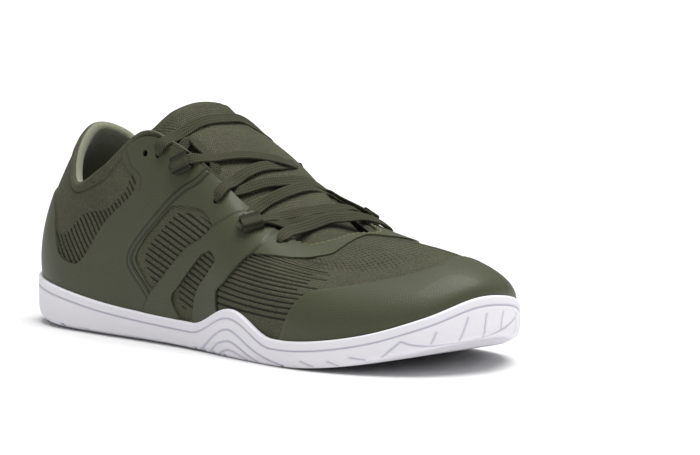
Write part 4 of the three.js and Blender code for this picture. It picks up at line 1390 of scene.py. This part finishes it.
def grain_group():
    """Even fine grain and a slow change of tone over a surface."""
    group, start, end = new_group(
        "Grain",
        {"Base": (0.5, 0.5, 0.5, 1), "Fine": 1500.0, "Slow": 30.0, "Change": 0.15},
        {"Color": "NodeSocketColor", "Height": "NodeSocketFloat"},
    )
    fine = noise_at(group, start.outputs["Fine"], 3.0)
    slow = noise_at(group, start.outputs["Slow"], 3.0)
    speck = maths(group, "SUBTRACT", fine, 0.5)
    patch = maths(group, "SUBTRACT", slow, 0.5)
    both = maths(group, "ADD", maths(group, "MULTIPLY", speck, 2.0), patch)
    gain = maths(group, "ADD", maths(group, "MULTIPLY", both, start.outputs["Change"]), 1.0)
    scaled = new_node(group, "ShaderNodeVectorMath", operation="SCALE")
    feed(group, scaled.inputs[0], start.outputs["Base"])
    feed(group, scaled.inputs["Scale"], gain)
    group.links.new(scaled.outputs[0], end.inputs["Color"])
    group.links.new(fine, end.inputs["Height"])
    return group


def weave_group():
    """Small knit cells in staggered courses."""
    group, start, end = new_group(
        "Knit cells", {"Width": 1.1, "Height": 1.3}, {"Height": "NodeSocketFloat"},
    )
    across, along = sheet_place(group)
    column = maths(group, "DIVIDE", across, start.outputs["Width"])
    course = maths(group, "DIVIDE", along, start.outputs["Height"])
    step = maths(group, "MULTIPLY", maths(group, "FLOOR", course), 0.5)
    shifted = maths(group, "FRACT", maths(group, "ADD", column, step))
    level = maths(group, "FRACT", course)
    a = maths(group, "SUBTRACT", shifted, 0.5)
    b = maths(group, "SUBTRACT", level, 0.5)
    far = maths(group, "ADD", maths(group, "MULTIPLY", a, a), maths(group, "MULTIPLY", b, b))
    group.links.new(ramp(group, far, 0.30, 0.02), end.inputs["Height"])
    return group


def dots_group():
    """Staggered pinholes."""
    group, start, end = new_group(
        "Pinholes", {"Width": 2.3, "Height": 1.9, "Size": 0.22}, {"Mask": "NodeSocketFloat"},
    )
    across, along = sheet_place(group)
    course = maths(group, "DIVIDE", along, start.outputs["Height"])
    step = maths(group, "MULTIPLY", maths(group, "FLOOR", course), 0.5)
    column = maths(group, "ADD", maths(group, "DIVIDE", across, start.outputs["Width"]), step)
    a = maths(group, "SUBTRACT", maths(group, "FRACT", column), 0.5)
    b = maths(group, "SUBTRACT", maths(group, "FRACT", course), 0.5)
    far = maths(group, "SQRT", maths(
        group, "ADD", maths(group, "MULTIPLY", a, a), maths(group, "MULTIPLY", b, b),
    ))
    inside = maths(group, "SUBTRACT", start.outputs["Size"], far)
    group.links.new(ramp(group, inside, -0.06, 0.06), end.inputs["Mask"])
    return group


def lines_group():
    """Painted shade of the knit's pressed lines, from the counts kept on the mesh."""
    group, _start, end = new_group("Pressed lines", {}, {"Mask": "NodeSocketFloat"})
    count = attribute(group, "lines")
    near = maths(group, "ABSOLUTE", maths(group, "SUBTRACT", count, maths(group, "ROUND", count)))
    line = ramp(group, near, 0.24, 0.10)
    field = ramp(group, attribute(group, "inside"), -0.1, 0.5)
    group.links.new(maths(group, "MULTIPLY", line, field), end.inputs["Mask"])
    return group


def braid_group():
    """Herringbone of a flat lace: slanted threads that meet along its middle. Its grooves also give the
    mask for painted shade.
    """
    group, start, end = new_group(
        "Herringbone", {"Pitch": 1.15}, {"Height": "NodeSocketFloat", "Groove": "NodeSocketFloat"},
    )
    across, along = sheet_place(group)
    lean = maths(group, "MULTIPLY", maths(group, "ABSOLUTE", across), 0.8)
    count = maths(group, "DIVIDE", maths(group, "ADD", along, lean), start.outputs["Pitch"])
    wave = maths(group, "SINE", maths(group, "MULTIPLY", count, 2 * math.pi))
    lanes = maths(group, "SINE", maths(group, "MULTIPLY", across, 2 * math.pi / 1.35))
    height = maths(group, "ADD", maths(group, "MULTIPLY", wave, 0.6),
                   maths(group, "MULTIPLY", lanes, 0.4))
    group.links.new(height, end.inputs["Height"])
    group.links.new(ramp(group, height, -0.2, -0.9), end.inputs["Groove"])
    return group


def ribs_group():
    """Straight ribs across a webbing."""
    group, start, end = new_group("Ribs", {"Pitch": 1.05}, {"Height": "NodeSocketFloat"})
    _across, along = sheet_place(group)
    count = maths(group, "DIVIDE", along, start.outputs["Pitch"])
    wave = maths(group, "SINE", maths(group, "MULTIPLY", count, 2 * math.pi))
    group.links.new(wave, end.inputs["Height"])
    return group


def use_group(tree, group, **inputs):
    """A shared group in a material, with that material's values."""
    node = new_node(tree, "ShaderNodeGroup", node_tree=group)
    for key, value in inputs.items():
        feed(tree, node.inputs[key], value)
    return node


class Surface:
    """A material with its shader, and short ways to give it colour and relief."""

    def __init__(self, name, roughness, sheen=0.0, coat=0.0, gloss=0.3):
        self.material = bpy.data.materials.new(name)
        self.material.use_nodes = True
        self.tree = self.material.node_tree
        self.shader = self.tree.nodes["Principled BSDF"]
        self.shader.inputs["Roughness"].default_value = roughness
        self.shader.inputs["Specular IOR Level"].default_value = gloss
        self.shader.inputs["Sheen Weight"].default_value = sheen
        self.shader.inputs["Coat Weight"].default_value = coat
        self.normal = None

    def color(self, source):
        feed(self.tree, self.shader.inputs["Base Color"], source)

    def relief(self, height, distance, strength=1.0):
        """Adds a bump of that distance in millimetres over the ones before."""
        node = new_node(self.tree, "ShaderNodeBump")
        node.inputs["Strength"].default_value = strength
        node.inputs["Distance"].default_value = distance * MM
        self.tree.links.new(height, node.inputs["Height"])
        if self.normal is not None:
            self.tree.links.new(self.normal, node.inputs["Normal"])
        self.normal = node.outputs[0]
        feed(self.tree, self.shader.inputs["Normal"], self.normal)


FILM_COLOR = (0.060, 0.065, 0.037, 1)
KNIT_COLOR = (0.080, 0.080, 0.052, 1)
# Painted shade for the knit's pressed lines and pinholes and the tongue's cell hollows
KNIT_PAINTED_SHADE = (0.022, 0.021, 0.014, 1)
LINING_COLOR = (0.200, 0.206, 0.145, 1)
LACE_COLOR = (0.056, 0.056, 0.034, 1)
# Painted shade for the lace's grooves and the webbing's rib valleys
LACE_PAINTED_SHADE = (0.020, 0.019, 0.012, 1)
WEBBING_COLOR = (0.042, 0.043, 0.025, 1)
TONGUE_COLOR = (0.084, 0.084, 0.053, 1)
INSOLE_COLOR = (0.026, 0.026, 0.019, 1)
STITCH_COLOR = (0.170, 0.175, 0.085, 1)
# Painted shade for the film's pressed lines, strap edge and toe seam
FILM_PAINTED_SHADE = (0.020, 0.021, 0.014, 1)
RUBBER_COLOR = (0.80, 0.785, 0.83, 1)
# Painted shade for the sole's grooves and notches
RUBBER_PAINTED_SHADE = (0.50, 0.48, 0.58, 1)
# Painted shade: near black for the inside of the eyelet holes
HOLE_PAINTED_SHADE = (0.010, 0.010, 0.008, 1)


def build_materials():
    """All the shoe's materials by a plain key."""
    grain, cells, holes = grain_group(), weave_group(), dots_group()
    lines, braid, ribs = lines_group(), braid_group(), ribs_group()
    made = {}

    rubber = Surface("Matt white rubber", 0.55)
    toned = use_group(rubber.tree, grain, Base=RUBBER_COLOR, Fine=900.0, Slow=25.0, Change=0.03)
    # The line numbers kept on the mesh paint shade into the sole's grooves and notches
    rubber.color(mixed(rubber.tree, attribute(rubber.tree, "line"), toned.outputs["Color"],
                       RUBBER_PAINTED_SHADE))
    rubber.relief(toned.outputs["Height"], 0.06, 0.5)
    made["rubber"] = rubber.material

    film = Surface("Satin film", 0.48, coat=0.04, gloss=0.22)
    toned = use_group(film.tree, grain, Base=FILM_COLOR, Fine=1400.0, Slow=22.0, Change=0.16)
    # The shade numbers kept on the mesh paint shade into the film's grooves and edges
    film.color(mixed(film.tree, attribute(film.tree, "shade"), toned.outputs["Color"], FILM_PAINTED_SHADE))
    cloth = use_group(film.tree, cells, Width=1.2, Height=1.4)
    film.relief(cloth.outputs["Height"], 0.05, 0.6)
    film.relief(toned.outputs["Height"], 0.12, 0.8)
    made["film"] = film.material

    knit = Surface("Heathered knit", 0.9, sheen=0.02, gloss=0.15)
    toned = use_group(knit.tree, grain, Base=KNIT_COLOR, Fine=1100.0, Slow=35.0, Change=0.55)
    pins = use_group(knit.tree, holes)
    pin_share = maths(knit.tree, "MULTIPLY", pins.outputs["Mask"], attribute(knit.tree, "vamp"))
    pressed = use_group(knit.tree, lines)
    # Painted shade in the pinholes and in the pressed lines
    painted_shade = maths(knit.tree, "MAXIMUM", maths(knit.tree, "MULTIPLY", pin_share, 0.75),
                 pressed.outputs["Mask"])
    knit.color(mixed(knit.tree, painted_shade, toned.outputs["Color"], KNIT_PAINTED_SHADE))
    cloth = use_group(knit.tree, cells, Width=0.95, Height=1.1)
    knit.relief(cloth.outputs["Height"], 0.25)
    knit.relief(maths(knit.tree, "SUBTRACT", 1.0, pin_share), 0.3)
    knit.relief(toned.outputs["Height"], 0.15)
    made["knit"] = knit.material

    lining = Surface("Brushed lining", 0.9, sheen=0.25)
    toned = use_group(lining.tree, grain, Base=LINING_COLOR, Fine=1300.0, Slow=40.0, Change=0.35)
    lining.color(toned.outputs["Color"])
    lining.relief(toned.outputs["Height"], 0.25)
    made["lining"] = lining.material

    tongue = Surface("Tongue mesh", 0.9, sheen=0.04, gloss=0.15)
    toned = use_group(tongue.tree, grain, Base=TONGUE_COLOR, Fine=1000.0, Slow=45.0, Change=0.6)
    cloth = use_group(tongue.tree, cells, Width=0.9, Height=1.0)
    # Painted shade in the hollows of the knit cells
    low = maths(tongue.tree, "MULTIPLY", maths(tongue.tree, "SUBTRACT", 1.0,
                                               cloth.outputs["Height"]), 0.3)
    tongue.color(mixed(tongue.tree, low, toned.outputs["Color"], KNIT_PAINTED_SHADE))
    tongue.relief(cloth.outputs["Height"], 0.35)
    tongue.relief(toned.outputs["Height"], 0.2)
    made["tongue"] = tongue.material

    lace = Surface("Herringbone lace", 0.9, sheen=0.03, gloss=0.15)
    toned = use_group(lace.tree, grain, Base=LACE_COLOR, Fine=1500.0, Slow=60.0, Change=0.4)
    woven = use_group(lace.tree, braid)
    # Painted shade in the herringbone's grooves
    lace.color(mixed(lace.tree, woven.outputs["Groove"], toned.outputs["Color"], LACE_PAINTED_SHADE))
    lace.relief(woven.outputs["Height"], 0.22)
    made["lace"] = lace.material

    webbing = Surface("Ribbed webbing", 0.88, sheen=0.03, gloss=0.15)
    toned = use_group(webbing.tree, grain, Base=WEBBING_COLOR, Fine=1500.0, Slow=60.0, Change=0.4)
    ribbed = use_group(webbing.tree, ribs)
    # Painted shade in the valleys between the ribs
    valley_shade = ramp(webbing.tree, ribbed.outputs["Height"], 0.1, -0.9, 0.0, 0.8)
    webbing.color(mixed(webbing.tree, valley_shade, toned.outputs["Color"], LACE_PAINTED_SHADE))
    webbing.relief(ribbed.outputs["Height"], 0.35)
    made["webbing"] = webbing.material

    # The eyelet sleeves' near black is painted shade inside the holes
    for key, name, base in (("insole", "Dark cloth", INSOLE_COLOR),
                            ("stitch", "Stitch thread", STITCH_COLOR),
                            ("hole", "Eyelet hole shade", HOLE_PAINTED_SHADE)):
        plain = Surface(name, 0.9)
        toned = use_group(plain.tree, grain, Base=base, Fine=1500.0, Slow=60.0, Change=0.3)
        plain.color(toned.outputs["Color"])
        plain.relief(toned.outputs["Height"], 0.15)
        made[key] = plain.material
    return made


MATERIAL_NAMES = {}


def material(key):
    """One of the shoe's materials, all made the first time one is asked for."""
    if not MATERIAL_NAMES:
        MATERIAL_NAMES.update({name: made.name for name, made in build_materials().items()})
    return bpy.data.materials[MATERIAL_NAMES[key]]


# Operators

def length_setting(name, description, default):
    """A length that a user may change."""
    return bpy.props.FloatProperty(
        name=name, description=description, default=default, min=0.0, unit="LENGTH",
        subtype="DISTANCE",
    )


class ShoeSettings(bpy.types.PropertyGroup):
    """Sizes of the shoe's relief and trim."""

    side_groove: length_setting("Side lines", "Depth of the lines in the sole's side", 0.00055)
    tread_groove: length_setting("Tread", "Depth of the tread's grooves", 0.0010)
    lace_width: length_setting("Lace width", "Width of the flat lace", 0.0055)
    lace_thickness: length_setting("Lace thickness", "Thickness of the flat lace", 0.00125)
    webbing: length_setting("Webbing", "Thickness of the loops' webbing", 0.0011)
    loop_length: length_setting("Loop length", "Length of each webbing loop", 0.009)


class StageSettings(bpy.types.PropertyGroup):
    """The floor and its lights."""

    key_power: bpy.props.FloatProperty(
        name="Key light", description="Strength of the soft sun above", default=4.4,
    )
    fill_power: bpy.props.FloatProperty(
        name="Fill light", description="Power of the light beside the camera", default=0.4,
        unit="POWER",
    )
    world_light: bpy.props.FloatProperty(
        name="World", description="Brightness of the world around", default=0.3,
    )


class SHOE_OT_sole(bpy.types.Operator):
    """Builds the outsole's body and its tread"""

    bl_idname = "shoe.sole"
    bl_label = "Sole"

    def execute(self, context):
        settings = context.scene.shoe
        points, shade = sole_body(settings.side_groove / MM)
        add_rings("outsole_body", points, [material("rubber")], "outsole", ("outsole",),
                  values={"line": shade.ravel()}, sharp=70)
        points, faces, shade = tread(settings.tread_groove / MM)
        add_mesh("outsole_tread", points, faces, [material("rubber")], "outsole", ("outsole",),
                 values={"line": shade}, sharp=60)
        return {"FINISHED"}


class SHOE_OT_upper(bpy.types.Operator):
    """Builds the knit upper, its lining and the eyelets' sleeves"""

    bl_idname = "shoe.upper"
    bl_label = "Upper"

    def execute(self, context):
        rows, levels, points, lines, inside = upper_grid()
        across, up = points.shape[:2]
        count = lines.shape[1]
        faces = np.array(grid_faces(across, up, True, True))
        holes = near_eyelets(points, EYELET_RADIUS + 0.35).ravel()
        level = faces[:, 0] % up
        keep = ~(holes[faces].any(1) & (level > 0) & (level <= count))
        faces, level = faces[keep], level[keep]
        values = {}
        for key, grid, rest in (("lines", lines, 0.0), ("inside", inside, -5.0)):
            full = np.full((across, up), rest)
            full[:, 1:count + 1] = grid
            values[key] = full
        row_grid = np.repeat(folded(rows)[:, None], up, 1)
        climb = np.repeat(levels[None, :], across, 0)
        values["vamp"] = (
            smooth(row_grid, 4.6, 3.6) * smooth(climb, 0.50, 0.62) * (climb < 1.0)
        )
        flat = np.stack([np.repeat(rows[:, None], up, 1), climb], -1) * (ROW_SPAN, CLIMB_SPAN)
        add_mesh("upper_shell", points.reshape(-1, 3), faces.tolist(),
                 [material("knit"), material("lining")], "upper", ("upper",),
                 face_slots=(level > count + 2).astype(np.int32), values=values,
                 sheet=flat.reshape(-1, 2))
        points, faces = eyelet_cups()
        add_mesh("eyelet_sleeves", points, faces, [material("hole")], "upper")
        return {"FINISHED"}


class SHOE_OT_films(bpy.types.Operator):
    """Builds the film overlays and the stitches round the throat"""

    bl_idname = "shoe.films"
    bl_label = "Films"

    def execute(self, context):
        rows = spread([(0, 3.6, 1 / 24), (3.6, 7.8, 1 / 48), (7.8, 9.6, 1 / 30), (9.6, 22, 1 / 12)])
        add_film("quarter_film_sheet", rows, np.linspace(0, 0.98, 136), film_field, film_height,
                 film_shade, material("film"), "quarter_film")
        add_film("toe_guard_sheet", rows, np.linspace(0, 0.6, 60), toe_field, toe_height,
                 toe_shade, material("film"), "toe_guard")
        points, faces = throat_stitches()
        add_mesh("throat_stitches", points, faces, [material("stitch")], "film")
        return {"FINISHED"}


class SHOE_OT_inside(bpy.types.Operator):
    """Builds the tongue and the insole"""

    bl_idname = "shoe.inside"
    bl_label = "Tongue and insole"

    def execute(self, context):
        points, flat = tongue_grid()
        piece = add_grid("tongue_pad", points, [material("tongue")], "tongue", ("tongue",),
                         close_up=True, caps=True, sheet=flat.reshape(-1, 2), sharp=70)
        add_rings("insole_cloth", insole_grid(), [material("insole")], "insole", ("insole",),
                  sharp=60)
        return {"FINISHED"}


class SHOE_OT_laces(bpy.types.Operator):
    """Builds the lace's strands"""

    bl_idname = "shoe.laces"
    bl_label = "Laces"

    def execute(self, context):
        settings = context.scene.shoe
        groups = {
            "lace_bottom": ("bottom",),
            "lace_top": ("top",),
            "lace_crossings": (
                "loop_forward", "loop_low", "loop_back", "middle_forward", "middle_back",
                "loop_turn", "loop_top",
            ),
        }
        for node, names in groups.items():
            for name in names:
                points, flat = lace_grid(
                    name, settings.lace_width / MM, settings.lace_thickness / MM,
                )
                add_grid("lace_strand_" + name, points, [material("lace")], "lace", (node,),
                         close_up=True, caps=True, sheet=flat.reshape(-1, 2), flip=True)
        return {"FINISHED"}


class SHOE_OT_loops(bpy.types.Operator):
    """Builds the webbing loops"""

    bl_idname = "shoe.loops"
    bl_label = "Webbing loops"

    def execute(self, context):
        settings = context.scene.shoe
        for where, (row, climb) in LOOPS.items():
            points, flat = loop_grid(row, climb, *LOOP_SLOT, settings.webbing / MM,
                                     settings.loop_length / MM)
            add_grid("webbing_" + where, points, [material("webbing")], "webbing",
                     ("webbing_loop_" + where,), close_across=True, close_up=True,
                     sheet=flat.reshape(-1, 2))
        return {"FINISHED"}


# Camera: azimuth, elevation and distance from a target in the last's millimetres
CAMERA_TURN = math.radians(45.4)
CAMERA_RISE = math.radians(7.2)
CAMERA_DISTANCE = 1800.0
CAMERA_TARGET = (140.0, 0.0, 30.0)
CAMERA_SLIDE = (31.9, 21.5)
CAMERA_LENS = 209.2

# Stage, in metres and degrees
FLOOR_HALF = 8
FLOOR_COLOR = (0.76, 0.76, 0.76, 1)
LIT_POINT = (0, 0, 0.03)
KEY_PLACE = (0.15, 0.08, 1.0)
KEY_WIDTH = 50
FILL_PLACE = (1.1, -0.9, 0.55)
FILL_WIDTH = 0.9


def add_light(name, kind, place, target, size, power):
    """A sun size degrees wide, or a round lamp size metres wide, turned to a target."""
    light = bpy.data.lights.new(name, kind)
    light.energy = power
    if kind == "SUN":
        light.angle = math.radians(size)
    else:
        light.shape = "DISK"
        light.size = size
    piece = bpy.data.objects.new(name, light)
    piece.location = place
    piece.rotation_euler = (Vector(target) - Vector(place)).to_track_quat("-Z", "Y").to_euler()
    bpy.context.scene.collection.objects.link(piece)
    return piece


class SHOE_OT_stage(bpy.types.Operator):
    """Builds the floor, the lights and the camera"""

    bl_idname = "shoe.stage"
    bl_label = "Stage"

    def execute(self, context):
        settings = context.scene.shoe_stage
        scene = context.scene
        mesh = bpy.data.meshes.new("floor")
        corners = [(x * FLOOR_HALF, y * FLOOR_HALF, 0) for x, y in ((-1, -1), (1, -1), (1, 1), (-1, 1))]
        mesh.from_pydata(corners, [], [(0, 1, 2, 3)])
        floor = bpy.data.objects.new("floor", mesh)
        scene.collection.objects.link(floor)
        paper = Surface("White floor", 0.8)
        toned = use_group(paper.tree, bpy.data.node_groups["Grain"], Base=FLOOR_COLOR,
                          Fine=300.0, Slow=3.0, Change=0.01)
        paper.color(toned.outputs["Color"])
        mesh.materials.append(paper.material)
        key = add_light("key", "SUN", KEY_PLACE, LIT_POINT, KEY_WIDTH, settings.key_power)
        fill = add_light("fill", "AREA", FILL_PLACE, LIT_POINT, FILL_WIDTH, settings.fill_power)

        world = bpy.data.worlds.new("Studio")
        world.use_nodes = True
        background = world.node_tree.nodes["Background"]
        background.inputs[0].default_value = (1, 1, 1, 1)
        background.inputs[1].default_value = settings.world_light
        scene.world = world
        scene.view_settings.view_transform = "Standard"

        camera = bpy.data.cameras.new("camera")
        camera.lens = CAMERA_LENS
        piece = bpy.data.objects.new("camera", camera)
        scene.collection.objects.link(piece)
        turn, rise = CAMERA_TURN, CAMERA_RISE
        back = Vector((math.sin(turn) * math.cos(rise), -math.cos(turn) * math.cos(rise),
                       math.sin(rise)))
        right = Vector((math.cos(turn), math.sin(turn), 0))
        up = back.cross(right)
        target = Vector(np.array(CAMERA_TARGET) + SHIFT) * MM
        piece.location = target + back * CAMERA_DISTANCE * MM
        aim = target + right * CAMERA_SLIDE[0] * MM + up * CAMERA_SLIDE[1] * MM
        piece.rotation_euler = (aim - piece.location).to_track_quat("-Z", "Y").to_euler()
        scene.camera = piece
        return {"FINISHED"}


class SHOE_PT_pieces(bpy.types.Panel):
    """Lists the shoe's pieces"""

    bl_label = "Barefoot shoe"
    bl_idname = "SHOE_PT_pieces"
    bl_space_type = "VIEW_3D"
    bl_region_type = "UI"
    bl_category = "Shoe"

    def draw(self, context):
        layout = self.layout
        for group in (context.scene.shoe, context.scene.shoe_stage):
            for key in group.bl_rna.properties.keys():
                if key not in ("rna_type", "name"):
                    layout.prop(group, key)
        for operator in OPERATORS:
            layout.operator(operator.bl_idname)


OPERATORS = (
    SHOE_OT_sole, SHOE_OT_upper, SHOE_OT_films, SHOE_OT_inside, SHOE_OT_laces, SHOE_OT_loops,
    SHOE_OT_stage,
)
CLASSES = (ShoeSettings, StageSettings) + OPERATORS + (SHOE_PT_pieces,)


def register():
    for item in CLASSES:
        bpy.utils.register_class(item)
    bpy.types.Scene.shoe = bpy.props.PointerProperty(type=ShoeSettings)
    bpy.types.Scene.shoe_stage = bpy.props.PointerProperty(type=StageSettings)


def unregister():
    del bpy.types.Scene.shoe_stage
    del bpy.types.Scene.shoe
    for item in reversed(CLASSES):
        bpy.utils.unregister_class(item)


def main():
    """Builds every piece in order."""
    register()
    bpy.ops.shoe.sole()
    bpy.ops.shoe.upper()
    bpy.ops.shoe.films()
    bpy.ops.shoe.inside()
    bpy.ops.shoe.laces()
    bpy.ops.shoe.loops()
    bpy.ops.shoe.stage()


if __name__ == "__main__":
    main()
